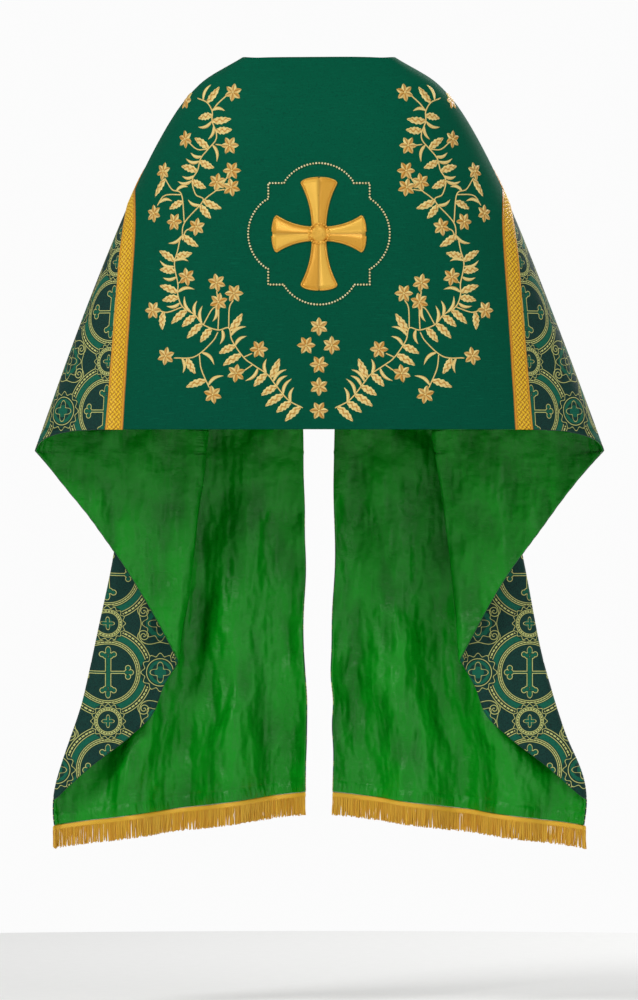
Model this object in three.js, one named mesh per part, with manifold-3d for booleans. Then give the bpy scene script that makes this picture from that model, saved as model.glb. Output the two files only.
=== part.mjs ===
// A humeral veil: a long lined cloth with a plain embroidered centre panel, brocade side panels, gold
// galloons over the seams and a fringe on each short end, draped over the shoulders and closed at the chest
// by a clasp. Millimetres, +Z up. The origin is the middle of the straight top edge's level, between the
// shoulders. The back of the veil faces -Y, the front faces +Y, and the wearer's left is -X.
//
// The drape is described by horizontal sections. A section starts at the middle of the back, runs outward to
// the arm, turns round it, comes back inward along the front, folds twice and ends at the neck edge beside
// the front opening. "depth" is how far a section lies below the top edge, and "run" is the length along it.

import * as THREE from 'three';
import { TessellateModifier } from 'three/addons/modifiers/TessellateModifier.js';
import { mergeVertices } from 'three/addons/utils/BufferGeometryUtils.js';
import Module from 'manifold-3d';

const wasm = await Module();
wasm.setup();

// ---- driving dimensions of the cloth ----
const BACK_DROP = 560; // width of the cloth, and how far the back hangs
const NECK_HALF = 118; // half of the straight top edge
const OPENING_HALF = 22; // half of the opening down the front
const ARM_SPREAD = 433; // half width over both arms at the lowest point of the back
const HEM_DIP = 32; // how far that point hangs below the hem of the back
const END_DEPTH = 1167; // depth of the cloth's end at its outer fold
const FRINGE_HEADING = 7.5;
const FRINGE_SKIRT = 27;
const PANEL_HALF = 292; // half width of the plain centre panel at the hem
const GALLOON_WIDTH = 31;
const GALLOON_LEAN = 0.075; // how much the galloons draw in, per unit of height
const GALLOON_NECK_DEPTH = 64; // depth at which a galloon's inner edge reaches the neck edge in front
const ARM_DEPTH = BACK_DROP + HEM_DIP;

// ---- layers, as heights above the back of the lining ----
const LINING = [0, 1.0];
const INTERLINING = [1.5, 2.3];
const FACE = [2.9, 4.1];
const GALLOON = [5.3, 7.1];
const EMBROIDERY = [6.0, 8.2];
const EMBLEM = [6.0, 10.2];
const LONGEST_EDGE = 16; // longest edge of a flat motif before it is bent to the cloth
const FRINGE = [0.6, 3.4];
const CANVAS_POINTS = 3; // the interlining ends at this point of a section, counted from the middle
const SEAM_GAP = 1.2;
const EDGE_GAP = 1.2;

// ---- folds ----
const FOLD_START = 130; // depth at which the front folds begin to open
const FOLD_FULL = 420; // depth at which they are full
const INNER_FOLD = 22; // distance between the layers at the inner fold
const OUTER_FOLD = 26; // the same at the outer fold
const FOLD_SPREAD = 22; // half the width of the shallow wave from which the folds grow
const FOLD_ROUND = 14; // length over which a layer bends into a fold
const WAVE_HEIGHT = 24; // soft waves in the front layer
const WAVES = 2.5;
const END_RISE = 52; // how much higher the end hangs at the front opening than at the outer fold

// ---- clasp ----
const CLASP_DEPTH = 128;
const CLASP_STANDOFF = 7.5;
const PLATE = { width: 34, height: 26, thick: 2, inner: 12, corner: 5 };
const HINGE = {
  pin: 1.2,
  play: 0.12,
  knuckle: 3,
  barKnuckle: 2.2,
  inset: 4, // how far the pin stands in from the plate's inner end
  rise: 4.6,
  margin: 2, // how far the knuckles stop short of the plate's upper and lower edge
  head: 1.2,
  headGap: 0.3,
};
const BAR = { height: 12, thick: 2.4, reach: 9, tongue: 3, gap: 0.4 };
const RIVET = { radius: 2.2, rise: 1.3, edge: 7, gap: 0.3 };

// A smooth curve through [depth, value] knots that never overshoots them.
function through(knots) {
  const steps = knots.slice(1).map((k, i) => (k[1] - knots[i][1]) / (k[0] - knots[i][0]));
  const slopes = knots.map((_, i) => {
    if (i === 0) return steps[0];
    if (i === knots.length - 1) return steps[i - 1];
    const product = steps[i - 1] * steps[i];
    return product <= 0 ? 0 : (2 * product) / (steps[i - 1] + steps[i]);
  });
  return (depth) => {
    const last = knots.length - 1;
    if (depth <= knots[0][0]) return knots[0][1];
    if (depth >= knots[last][0]) return knots[last][1];
    let i = 0;
    while (depth > knots[i + 1][0]) i += 1;
    const span = knots[i + 1][0] - knots[i][0];
    const t = (depth - knots[i][0]) / span;
    const s = 1 - t;
    return (
      knots[i][1] * (1 + 2 * t) * s * s +
      slopes[i] * span * t * s * s +
      knots[i + 1][1] * (3 - 2 * t) * t * t -
      slopes[i + 1] * span * s * t * t
    );
  };
}

const mix = (a, b, t) => a + (b - a) * t;
const ramp = (t) => {
  const k = Math.min(1, Math.max(0, t));
  return k * k * (3 - 2 * k);
};

// ---- shape of the drape, all by depth ----
const outline = through([
  [0, NECK_HALF],
  [38, mix(NECK_HALF, ARM_SPREAD, 0.2)],
  [92, mix(NECK_HALF, ARM_SPREAD, 0.34)],
  [243, mix(NECK_HALF, ARM_SPREAD, 0.58)],
  [ARM_DEPTH, ARM_SPREAD],
]);
const backDepth = through([[0, -92], [40, -120], [120, -146], [300, -160], [BACK_DROP, -162]]);
const armMiddle = through([[0, -58], [60, -34], [150, -8], [300, 0], [ARM_DEPTH, 4]]);
const armRadius = through([[0, 33], [60, 37], [150, 40], [ARM_DEPTH, 38]]);
const neckEdge = through([
  [0, NECK_HALF - 8],
  [30, 0.83 * NECK_HALF],
  [60, 0.61 * NECK_HALF],
  [92, 0.373 * NECK_HALF],
  [125, OPENING_HALF + 8],
  [300, OPENING_HALF + 4],
  [END_DEPTH, OPENING_HALF],
]);
const chest = through([
  [0, -25],
  [40, 46],
  [75, 80],
  [105, 98],
  [150, 112],
  [300, 148],
  [600, 164],
  [END_DEPTH, 168],
]);

// Depths on the hanging front, as shares of the way from the arm to the cloth's end.
const onFall = (share) => mix(ARM_DEPTH, END_DEPTH, share);
const INNER_FOLD_END = onFall(0.56);
const OUTER_FOLD_END = onFall(0.93);

// Distances of the two folds from the middle, as shares of the half width over the arms.
const across = (share) => share * ARM_SPREAD;
const innerFold = through([
  [0, across(0.231)],
  [INNER_FOLD_END, across(0.4965)],
  [END_DEPTH, across(0.566)],
]);
const outerFold = through([
  [0, across(0.323)],
  [150, across(0.404)],
  [onFall(0.275), across(0.7206)],
  [onFall(0.65), across(0.827)],
  [onFall(0.946), across(0.942)],
  [END_DEPTH, across(0.942)],
]);

// Corner points of a section, each with the length over which it is rounded.
// Shape of a section. The back bends at a share of the width and stands out a little as the folds open.
const BEND = { share: 0.6, round: 0.3, out: 8 };
// Roundness of the turns over the arm, as a share of the arm's radius. The front turn needs room to be as round.
const TURN = { round: 0.9, least: 0.2, room: 60 };
// How far in from the arm the folds may lie, as shares of the way to the free edge.
const REACH = { inner: 0.3, closed: 0.6, outer: 0.85 };
// How far the layers of an open fall lie behind its free edge.
const LAYER = { front: 4, behind: 2 * OUTER_FOLD - 16 };

function corners(depth) {
  const open = ramp((depth - FOLD_START) / (FOLD_FULL - FOLD_START));
  const armX = outline(depth) - FACE[1];
  const arm = armRadius(depth);
  const backY = backDepth(depth);
  const endX = neckEdge(depth);
  const endY = chest(depth);
  const turnY = armMiddle(depth) + arm;
  const onFront = (x) => mix(turnY, endY, (armX - x) / Math.max(armX - endX, 1));
  const middle = (innerFold(depth) + outerFold(depth)) / 2;
  const half = ((outerFold(depth) - innerFold(depth)) / 2) * open;
  const foldAt = (x, behind) => [x, mix(onFront(x), endY - behind, open)];
  const room = Math.min(1, (armX - endX) / TURN.room);
  const apart = FOLD_SPREAD * (1 - open);
  const inX = Math.min(middle + apart - half, mix(armX, endX, REACH.inner));
  const outMost = Math.min(middle - apart + half, mix(armX, endX, REACH.closed * (1 - open)));
  const outX = Math.max(outMost, mix(armX, endX, REACH.outer));
  return [
    { at: [0, backY], round: 0 },
    { at: [BEND.share * armX, backY + BEND.out * open], round: BEND.round * armX },
    { at: [armX, turnY - 2 * arm], round: TURN.round * arm },
    { at: [armX, turnY], round: TURN.round * arm * mix(TURN.least, 1, room) },
    { at: foldAt(inX, LAYER.behind + INNER_FOLD), round: FOLD_ROUND },
    { at: foldAt(inX, LAYER.behind), round: FOLD_ROUND },
    { at: foldAt(outX, LAYER.front + OUTER_FOLD), round: FOLD_ROUND },
    { at: foldAt(outX, LAYER.front), round: FOLD_ROUND },
    { at: [endX, endY], round: 0 },
  ];
}

// How many points each straight stretch has between its ends, and each rounded corner.
const STRETCH = [1, 0, 0, 1, 0, 0, 0, 7];
const CORNER = [0, 3, 3, 3, 2, 2, 2, 2, 0];
const sections = new Map();

// Depths of the rows of points that the cloth is built on. Between two rows the cloth is straight.
const BAND_STEPS = [0, 0.5, 1, 1.8, 2.8, 3.8, 4.8, 5.3, 5.8, 6.5, 7.4];
const BAND_ROWS = BAND_STEPS.map((step) => GALLOON_NECK_DEPTH + step * GALLOON_WIDTH);
const BAND_END = BAND_ROWS[BAND_ROWS.length - 1];
const PANEL_ROWS = [0.21, 0.59, 0.95].map((share) => mix(BAND_END, BACK_DROP, share));
const BACK_ROWS = [0, 10, 24, 42, ...BAND_ROWS, ...PANEL_ROWS, BACK_DROP - 1, BACK_DROP];
const HEM_ROWS = [0.16, 0.5, 1].map((share) => BACK_DROP + share * HEM_DIP);
const FRONT_ROWS = [0.097, 0.195, 0.358, 0.56, 0.623, 0.696, 0.758, 0.843, 0.93, 1].map(onFall);
const ROWS = [...BACK_ROWS, ...HEM_ROWS, ...FRONT_ROWS];

// The points of a section, with the height of each.
function sectionPoints(depth) {
  const list = corners(depth);
  const points = [];
  const marks = [];
  const along = (from, to, distance) => {
    const length = Math.hypot(to[0] - from[0], to[1] - from[1]);
    const t = length > 0 ? Math.min(distance / length, 0.5) : 0;
    return [mix(from[0], to[0], t), mix(from[1], to[1], t)];
  };
  list.forEach((corner, i) => {
    if (CORNER[i] === 0) {
      points.push(corner.at);
    } else {
      const before = along(corner.at, list[i - 1].at, corner.round);
      const after = along(corner.at, list[i + 1].at, corner.round);
      for (let k = 0; k < CORNER[i]; k += 1) {
        const t = k / (CORNER[i] - 1);
        const s = 1 - t;
        points.push([0, 1].map((a) => s * s * before[a] + 2 * s * t * corner.at[a] + t * t * after[a]));
      }
    }
    marks.push(points.length - 1);
    if (i < list.length - 1) {
      const start = points[points.length - 1];
      const next = list[i + 1];
      const end = CORNER[i + 1] ? along(next.at, corner.at, next.round) : next.at;
      for (let k = 1; k <= STRETCH[i]; k += 1) {
        const t = k / (STRETCH[i] + 1);
        points.push([mix(start[0], end[0], t), mix(start[1], end[1], t)]);
      }
    }
  });
  const outer = marks[6];
  const waves = ramp((depth - FOLD_FULL) / (END_DEPTH - FOLD_FULL));
  const rise = END_RISE * ramp((depth - ARM_DEPTH) / (END_DEPTH - ARM_DEPTH));
  const height = points.map(() => -depth);
  for (let i = outer + 1; i < points.length; i += 1) {
    const t = (i - outer) / (points.length - 1 - outer);
    const wave = WAVE_HEIGHT * waves * ramp(3 * t) * Math.sin(2 * Math.PI * WAVES * t);
    points[i] = [points[i][0], points[i][1] + wave];
    height[i] += rise * t;
  }
  return { points, height, marks: { arm: marks[2], inner: marks[4], outer } };
}

// A section with the run at each point. "arm", "inner" and "outer" are the runs of the turn and the folds.
function section(depth) {
  const key = depth.toFixed(4);
  if (sections.has(key)) return sections.get(key);
  const below = ROWS.findIndex((row) => row > depth + 1e-6);
  let { points, height, marks } = sectionPoints(below < 0 ? depth : ROWS[Math.max(below - 1, 0)]);
  if (below > 0) {
    const next = sectionPoints(ROWS[below]);
    const t = (depth - ROWS[below - 1]) / (ROWS[below] - ROWS[below - 1]);
    points = points.map((p, i) => [mix(p[0], next.points[i][0], t), mix(p[1], next.points[i][1], t)]);
    height = height.map((h, i) => mix(h, next.height[i], t));
  }
  const run = [0];
  for (let i = 1; i < points.length; i += 1) {
    run.push(run[i - 1] + Math.hypot(points[i][0] - points[i - 1][0], points[i][1] - points[i - 1][1]));
  }
  const end = run[run.length - 1];
  const [arm, inner, outer] = [run[marks.arm], run[marks.inner], run[marks.outer]];
  const result = { points, height, run, marks, end, arm, inner, outer };
  sections.set(key, result);
  return result;
}

// The point of the back of the lining at a depth and a run; a negative run is on the wearer's left.
function drape(depth, run) {
  const { points, height, run: runs } = section(depth);
  const target = Math.min(Math.abs(run), runs[runs.length - 1]);
  let i = 0;
  while (i < runs.length - 2 && target > runs[i + 1]) i += 1;
  const span = runs[i + 1] - runs[i];
  const t = span > 0 ? (target - runs[i]) / span : 0;
  const x = mix(points[i][0], points[i + 1][0], t);
  const y = mix(points[i][1], points[i + 1][1], t);
  return new THREE.Vector3(Math.sign(run || 1) * x, y, mix(height[i], height[i + 1], t));
}

// The direction out of the face of the cloth.
function outward(depth, run) {
  const reach = 5;
  const level = Math.max(depth, reach);
  const furthest = Math.min(...[-reach, 0, reach].map((step) => section(level + step).end)) - reach;
  const inside = Math.sign(run) * Math.min(Math.abs(run), furthest);
  const sideways = drape(level, inside + reach).sub(drape(level, inside - reach));
  const downward = drape(level + reach, inside).sub(drape(level - reach, inside));
  return downward.cross(sideways).normalize();
}

const onCloth = (depth, run, height) => drape(depth, run).addScaledVector(outward(depth, run), height);

// The run at which a stretch of the section reaches a distance from the middle plane.
function runAt(depth, x, from, to) {
  const { points, run } = section(depth);
  for (let i = from; i < to; i += 1) {
    const low = Math.min(points[i][0], points[i + 1][0]);
    const high = Math.max(points[i][0], points[i + 1][0]);
    if (x >= low && x <= high && high > low) {
      return mix(run[i], run[i + 1], (x - points[i][0]) / (points[i + 1][0] - points[i][0]));
    }
  }
  return Math.abs(points[from][0] - x) < Math.abs(points[to][0] - x) ? run[from] : run[to];
}

// A line across the cloth beside a galloon: straight down the back, and over the shoulder to the neck edge.
function lineBeside(offset) {
  const onBack = (depth) => PANEL_HALF + offset - GALLOON_LEAN * (BACK_DROP - depth);
  let high = 0;
  let low = BACK_DROP;
  for (let i = 0; i < 40; i += 1) {
    const middle = (high + low) / 2;
    if (outline(middle) - FACE[1] < onBack(middle)) high = middle;
    else low = middle;
  }
  const atArm = low;
  const atNeck = GALLOON_NECK_DEPTH + offset;
  const run = (depth) => {
    const { arm, end, marks } = section(depth);
    if (depth >= atArm) return runAt(depth, onBack(depth), 0, marks.arm);
    if (depth <= atNeck) return end;
    const left = 1 - (depth - atNeck) / (atArm - atNeck);
    return mix(end, arm, 1 - left * left);
  };
  return { run, atNeck };
}

const galloonInner = lineBeside(0);
const seam = lineBeside(GALLOON_WIDTH / 2);
const galloonOuter = lineBeside(GALLOON_WIDTH);

// ---- the free lower edge of the side panels ----
const HEM_CORNER = { from: mix(PANEL_HALF + GALLOON_WIDTH, ARM_SPREAD, 0.155), rise: 1 };
const lowerEdgeOnArm = through([
  [ARM_DEPTH, ARM_SPREAD - FACE[1]],
  [onFall(0.195), across(0.79)],
  [onFall(0.358), across(0.64)],
  [INNER_FOLD_END, across(0.4965)],
]);
const lowerEdgeOnFold = through([
  [INNER_FOLD_END, across(0.4965)],
  [onFall(0.623), across(0.55)],
  [onFall(0.696), across(0.587)],
  [onFall(0.758), across(0.667)],
  [onFall(0.843), across(0.813)],
  [OUTER_FOLD_END, across(0.942)],
]);

// The run of the cloth's lower edge; above the hem it is the seam with the centre panel.
function lowerEdge(depth) {
  const { marks, inner, outer } = section(depth);
  if (depth <= BACK_DROP - HEM_CORNER.rise) return seam.run(depth) + SEAM_GAP / 2;
  if (depth < ARM_DEPTH) {
    const down = Math.max(0, (depth - BACK_DROP) / (ARM_DEPTH - BACK_DROP));
    const reach = ARM_SPREAD - FACE[1] - HEM_CORNER.from;
    return runAt(depth, HEM_CORNER.from + reach * Math.sqrt(1 - (1 - down) ** 2), 0, marks.arm);
  }
  if (depth < INNER_FOLD_END) return runAt(depth, lowerEdgeOnArm(depth), marks.arm, marks.inner);
  if (depth < OUTER_FOLD_END) {
    return Math.max(inner, runAt(depth, lowerEdgeOnFold(depth), marks.inner, marks.outer));
  }
  return outer;
}

const neckEnd = (depth) => section(depth).end;

// ---- meshes ----
const NEAR_LINE = 2; // a point of a section this near to a line moves onto it
const CLOSEST = 0.4; // points of a row nearer than this are one point

// Runs of one row: the given lines, with the section's own points between them. Points near a line join it.
function rowRuns(depth, lines, sides) {
  const own = section(depth).run;
  const all = [...(sides.left ? own.slice(1).reverse().map((r) => -r) : []), ...(sides.right ? own : [])];
  const stops = lines.map((line) => line(depth));
  const runs = [stops[0]];
  for (let i = 0; i < stops.length - 1; i += 1) {
    const [from, to] = [stops[i], stops[i + 1]];
    all.forEach((r) => {
      if (r < from + NEAR_LINE) runs.push(from);
      else runs.push(r > to - NEAR_LINE ? to : r);
    });
    runs.push(to);
  }
  return runs;
}

// A closed sheet between two heights above the lining's back. Its first and last line are its edges. Lines
// between them are kept as rows of points too, so that sheets that share a line lie parallel there.
function sheet(depths, lines, [low, high], sides) {
  const positions = [];
  const rows = depths.map((depth) => {
    let last = null;
    let index = -1;
    return rowRuns(depth, lines, sides).map((run) => {
      if (last === null || run - last > CLOSEST) {
        const inside = onCloth(depth, run, low);
        const outside = onCloth(depth, run, high);
        index = positions.length / 6;
        positions.push(...inside.toArray(), ...outside.toArray());
        last = run;
      }
      return index;
    });
  });
  const outer = [];
  for (let r = 0; r < rows.length - 1; r += 1) {
    for (let c = 0; c < rows[r].length - 1; c += 1) {
      const [a, b, d, e] = [rows[r][c], rows[r + 1][c], rows[r][c + 1], rows[r + 1][c + 1]];
      if (a !== b && b !== d && a !== d) outer.push([a, b, d]);
      if (d !== b && b !== e && d !== e) outer.push([d, b, e]);
    }
  }
  const edges = new Map();
  outer.forEach((t) => {
    [0, 1, 2].forEach((k) => edges.set(`${t[k]},${t[(k + 1) % 3]}`, [t[k], t[(k + 1) % 3]]));
  });
  const triangles = [];
  outer.forEach(([a, b, c]) => triangles.push(2 * a + 1, 2 * b + 1, 2 * c + 1, 2 * a, 2 * c, 2 * b));
  edges.forEach(([a, b]) => {
    if (edges.has(`${b},${a}`)) return;
    triangles.push(2 * b + 1, 2 * a + 1, 2 * a, 2 * b + 1, 2 * a, 2 * b);
  });
  const geometry = new THREE.BufferGeometry();
  geometry.setAttribute('position', new THREE.Float32BufferAttribute(positions, 3));
  geometry.setIndex(triangles);
  geometry.computeVertexNormals();
  return geometry;
}

const FABRIC = { roughness: 0.85, metalness: 0 };
const finishes = {
  panel: new THREE.MeshStandardMaterial({ color: 0x005a42, ...FABRIC }),
  brocade: new THREE.MeshStandardMaterial({ color: 0x2c5f4a, ...FABRIC }),
  satin: new THREE.MeshStandardMaterial({ color: 0x14801e, roughness: 0.4, metalness: 0 }),
  canvas: new THREE.MeshStandardMaterial({ color: 0xd8d2c0, ...FABRIC }),
  gold: new THREE.MeshStandardMaterial({ color: 0xe8aa18, roughness: 0.5, metalness: 0.3 }),
  bead: new THREE.MeshStandardMaterial({ color: 0xe6d296, roughness: 0.4, metalness: 0.2 }),
  brass: new THREE.MeshStandardMaterial({ color: 0xc8a04a, roughness: 0.3, metalness: 1 }),
};

const veil = new THREE.Group();

function add(name, geometry, finish, parent = veil) {
  const mesh = new THREE.Mesh(geometry, finishes[finish].clone());
  mesh.name = name;
  parent.add(mesh);
  return mesh;
}

const BOTH = { left: true, right: true };
const SIDES = [
  { name: 'left', sign: -1, sides: { left: true, right: false } },
  { name: 'right', sign: 1, sides: { left: false, right: true } },
];

// Puts lines that run from the middle outward on one side of the veil, in order of increasing run.
const onSide = (sign, lines) => (sign > 0 ? lines : lines.map((line) => (depth) => -line(depth)).reverse());

const centreEdge = (depth) => seam.run(depth) - (depth > seam.atNeck ? SEAM_GAP / 2 : 0);
const sideEdge = (depth) => Math.min(lowerEdge(depth), neckEnd(depth));
const beyond = (line, edge) => (depth) => Math.max(line(depth), edge(depth));

function addCentre() {
  const half = [galloonInner.run, centreEdge];
  const lines = [...onSide(-1, half), ...onSide(1, half)];
  add('centre_panel', sheet(BACK_ROWS, lines, FACE, BOTH), 'panel');
  add('lining_back', sheet(BACK_ROWS, lines, LINING, BOTH), 'satin');
  const canvasRows = BACK_ROWS.filter((depth) => depth > GALLOON_WIDTH && depth < BACK_DROP - 1);
  const canvasEdge = (depth) => section(depth).run[CANVAS_POINTS];
  const canvasLines = [(depth) => -canvasEdge(depth), canvasEdge];
  add('interlining_back', sheet(canvasRows, canvasLines, INTERLINING, BOTH), 'canvas');
}

function addSidePanels() {
  const depths = ROWS.filter((depth) => depth >= seam.atNeck);
  const inside = beyond(galloonOuter.run, sideEdge);
  const bandLine = (depth) => {
    return depth < BACK_DROP ? Math.min(inside(depth), neckEnd(depth)) : sideEdge(depth);
  };
  SIDES.forEach(({ name, sign, sides }) => {
    const lines = onSide(sign, [sideEdge, bandLine, neckEnd]);
    add(`brocade_${name}`, sheet(depths, lines, FACE, sides), 'brocade');
    add(`lining_${name}`, sheet(depths, lines, LINING, sides), 'satin');
  });
}

function addGalloons() {
  const depths = BACK_ROWS.filter((depth) => depth >= galloonInner.atNeck && depth < BACK_DROP);
  SIDES.forEach(({ name, sign, sides }) => {
    const sideLine = beyond(sideEdge, centreEdge);
    const lines = onSide(sign, [galloonInner.run, centreEdge, sideLine, galloonOuter.run]);
    add(`galloon_${name}`, sheet(depths, lines, GALLOON, sides), 'gold');
  });
}

function addFringes() {
  const top = END_DEPTH + EDGE_GAP;
  const middle = top + FRINGE_HEADING;
  const rows = { heading: [top, middle], skirt: [middle + EDGE_GAP, middle + EDGE_GAP + FRINGE_SKIRT] };
  SIDES.forEach(({ name, sign, sides }) => {
    const lines = onSide(sign, [(depth) => section(depth).outer, neckEnd]);
    add(`fringe_heading_${name}`, sheet(rows.heading, lines, FRINGE, sides), 'gold');
    add(`fringe_skirt_${name}`, sheet(rows.skirt, lines, FRINGE, sides), 'gold');
  });
}

// ---- embroidery: flat motifs in run and depth, then laid on the cloth ----

// The motifs are designed for a panel of this size. On a panel of another size they keep their places in
// proportion, and their own size follows the smaller of the two proportions.
const DESIGN = { half: 292, drop: 560 };
const MOTIF_SCALE = Math.min(PANEL_HALF / DESIGN.half, BACK_DROP / DESIGN.drop);
const placeOf = ([x, depth]) => [(x * PANEL_HALF) / DESIGN.half, (depth * BACK_DROP) / DESIGN.drop];

function toManifold(geometry) {
  const plain = geometry.index ? geometry.toNonIndexed() : geometry;
  plain.deleteAttribute('normal');
  plain.deleteAttribute('uv');
  const merged = mergeVertices(plain, 1e-4);
  return new wasm.Manifold(
    new wasm.Mesh({
      numProp: 3,
      vertProperties: new Float32Array(merged.attributes.position.array),
      triVerts: new Uint32Array(merged.index.array),
    }),
  );
}

function toGeometry(solid) {
  const mesh = solid.getMesh();
  const geometry = new THREE.BufferGeometry();
  geometry.setAttribute('position', new THREE.BufferAttribute(new Float32Array(mesh.vertProperties), 3));
  geometry.setIndex(new THREE.BufferAttribute(new Uint32Array(mesh.triVerts), 1));
  geometry.computeVertexNormals();
  return geometry;
}

// A flat shape as a solid whose x is the run, y the depth and z the height above the lining.
function motif(shape, [low, high]) {
  const solid = { depth: high - low, bevelEnabled: false, curveSegments: 4 };
  const geometry = new THREE.ExtrudeGeometry(shape, solid);
  return toManifold(geometry.translate(0, 0, low));
}

// Lays a solid of motifs on the cloth; sign -1 mirrors it to the wearer's left. Run and depth make a
// left-handed pair with the outward height, so it is the unmirrored side whose triangles turn over.
function layOnCloth(solid, sign) {
  const pieces = new TessellateModifier(LONGEST_EDGE, 8).modify(toGeometry(solid));
  pieces.deleteAttribute('normal');
  const geometry = mergeVertices(pieces, 1e-4);
  const position = geometry.attributes.position;
  for (let i = 0; i < position.count; i += 1) {
    const laid = onCloth(position.getY(i), sign * position.getX(i), position.getZ(i));
    position.setXYZ(i, laid.x, laid.y, laid.z);
  }
  const index = geometry.index.array;
  for (let i = 0; sign > 0 && i < index.length; i += 3) [index[i], index[i + 1]] = [index[i + 1], index[i]];
  geometry.computeVertexNormals();
  return geometry;
}

function flowerShape(x, y, radius) {
  const shape = new THREE.Shape();
  const petals = 6;
  for (let i = 0; i < petals; i += 1) {
    const angle = (i / petals) * 2 * Math.PI;
    const point = [x + radius * Math.sin(angle), y + radius * Math.cos(angle)];
    if (i === 0) shape.moveTo(...point);
    else shape.lineTo(...point);
  }
  return shape;
}

// A pointed leaf from its stalk end, leaning along a direction.
function leafShape(x, y, angle, length, width) {
  const outlinePoints = [[0, 0], [0.45, 0.5], [1, 0], [0.45, -0.5]];
  const shape = new THREE.Shape();
  outlinePoints.forEach(([along, across], i) => {
    const px = x + length * along * Math.cos(angle) - width * across * Math.sin(angle);
    const py = y + length * along * Math.sin(angle) + width * across * Math.cos(angle);
    if (i === 0) shape.moveTo(px, py);
    else shape.lineTo(px, py);
  });
  return shape;
}

// A ribbon of even width along a curve.
function ribbonShape(curve, width, divisions) {
  const left = [];
  const right = [];
  for (let i = 0; i <= divisions; i += 1) {
    const point = curve.getPointAt(i / divisions);
    const tangent = curve.getTangentAt(i / divisions);
    const across = new THREE.Vector2(-tangent.y, tangent.x).multiplyScalar(width / 2);
    left.push(point.clone().add(across));
    right.push(point.clone().sub(across));
  }
  return new THREE.Shape([...left, ...right.reverse()]);
}

// Stems of one garland, from the middle of the hem up to the shoulder, and its flowers on stalks.
const STEMS = [
  { points: [[14, 532], [68, 492], [113, 449], [137, 400], [150, 366]], leaves: 6 },
  { points: [[113, 449], [160, 462], [205, 470], [228, 455]], leaves: 3 },
  {
    points: [[150, 366], [192, 342], [222, 300], [214, 250], [178, 208], [170, 150], [186, 96], [176, 62]],
    leaves: 10,
  },
  { points: [[137, 400], [190, 388], [246, 384]], leaves: 3 },
];
const FLOWERS = [
  [196, 64], [134, 52], [197, 124], [134, 136], [230, 172], [152, 188], [243, 236], [182, 257], [196, 332],
  [127, 358], [248, 382], [224, 450], [90, 440], [160, 508],
];
const FLOWER_RADIUS = 12 * MOTIF_SCALE;
const STEM_WIDTH = 3 * MOTIF_SCALE;
const LEAF = { length: 24 * MOTIF_SCALE, width: 10 * MOTIF_SCALE, lean: 0.9 };
const CENTRE_FLOWERS = [[0, 532], [0, 496], [0, 463], [0, 406], [-19, 434], [19, 434]];

function garland() {
  const curves = STEMS.map(({ points }) => {
    return new THREE.SplineCurve(points.map((p) => new THREE.Vector2(...placeOf(p))));
  });
  const parts = curves.map((curve, i) => {
    return motif(ribbonShape(curve, STEM_WIDTH, 2 * STEMS[i].points.length), EMBROIDERY);
  });
  curves.forEach((curve, i) => {
    for (let k = 0; k < STEMS[i].leaves; k += 1) {
      const at = (k + 0.6) / STEMS[i].leaves;
      const point = curve.getPointAt(at);
      const tangent = curve.getTangentAt(at);
      const side = k % 2 === 0 ? 1 : -1;
      const angle = Math.atan2(tangent.y, tangent.x) + side * LEAF.lean;
      parts.push(motif(leafShape(point.x, point.y, angle, LEAF.length, LEAF.width), EMBROIDERY));
    }
  });
  FLOWERS.map(placeOf).forEach(([x, y]) => {
    const centre = new THREE.Vector2(x, y);
    const samples = curves.flatMap((curve) => curve.getSpacedPoints(30));
    const nearest = samples.reduce((best, p) => (p.distanceTo(centre) < best.distanceTo(centre) ? p : best));
    const stalk = new THREE.LineCurve(nearest, centre);
    parts.push(motif(ribbonShape(stalk, 0.6 * STEM_WIDTH, 2), EMBROIDERY));
    parts.push(motif(flowerShape(x, y, FLOWER_RADIUS), EMBROIDERY));
  });
  return parts.reduce((all, part) => all.add(part));
}

// ---- bead frame and emblem in the middle of the back ----
const [, FRAME_DEPTH] = placeOf([0, 267]);
const FRAME = {
  half: 106 * MOTIF_SCALE,
  lobe: 62 * MOTIF_SCALE,
  corner: 76 * MOTIF_SCALE,
  step: 24 * MOTIF_SCALE, // side of the small square that each corner shows
  width: 4,
};

// A quatrefoil line: four round lobes joined by stepped square corners.
function quatrefoil(grow) {
  const points = [];
  const lobeCentre = FRAME.half - FRAME.lobe;
  const reach = FRAME.lobe + grow;
  const corner = FRAME.corner + grow;
  for (let quarter = 0; quarter < 4; quarter += 1) {
    const turn = (quarter * Math.PI) / 2;
    const place = (x, y) => [
      x * Math.cos(turn) - y * Math.sin(turn),
      FRAME_DEPTH + x * Math.sin(turn) + y * Math.cos(turn),
    ];
    const opening = Math.asin(Math.min(0.999, (corner - FRAME.step) / reach));
    for (let k = 0; k <= 8; k += 1) {
      const angle = mix(-opening, opening, k / 8);
      points.push(place(lobeCentre + reach * Math.cos(angle), reach * Math.sin(angle)));
    }
    points.push(place(corner, corner - FRAME.step));
    points.push(place(corner, corner));
    points.push(place(corner - FRAME.step, corner));
  }
  return points.map((p) => new THREE.Vector2(...p));
}

function beadFrame() {
  const ring = new THREE.Shape(quatrefoil(FRAME.width / 2));
  ring.holes.push(new THREE.Path(quatrefoil(-FRAME.width / 2)));
  return motif(ring, EMBROIDERY);
}

// A padded cross with flared ends.
const CROSS = {
  half: 70 * MOTIF_SCALE,
  up: 84 * MOTIF_SCALE,
  waist: 9 * MOTIF_SCALE,
  flare: 26 * MOTIF_SCALE,
  shoulder: 0.92, // share of an arm's reach at which it is widest
};

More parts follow.
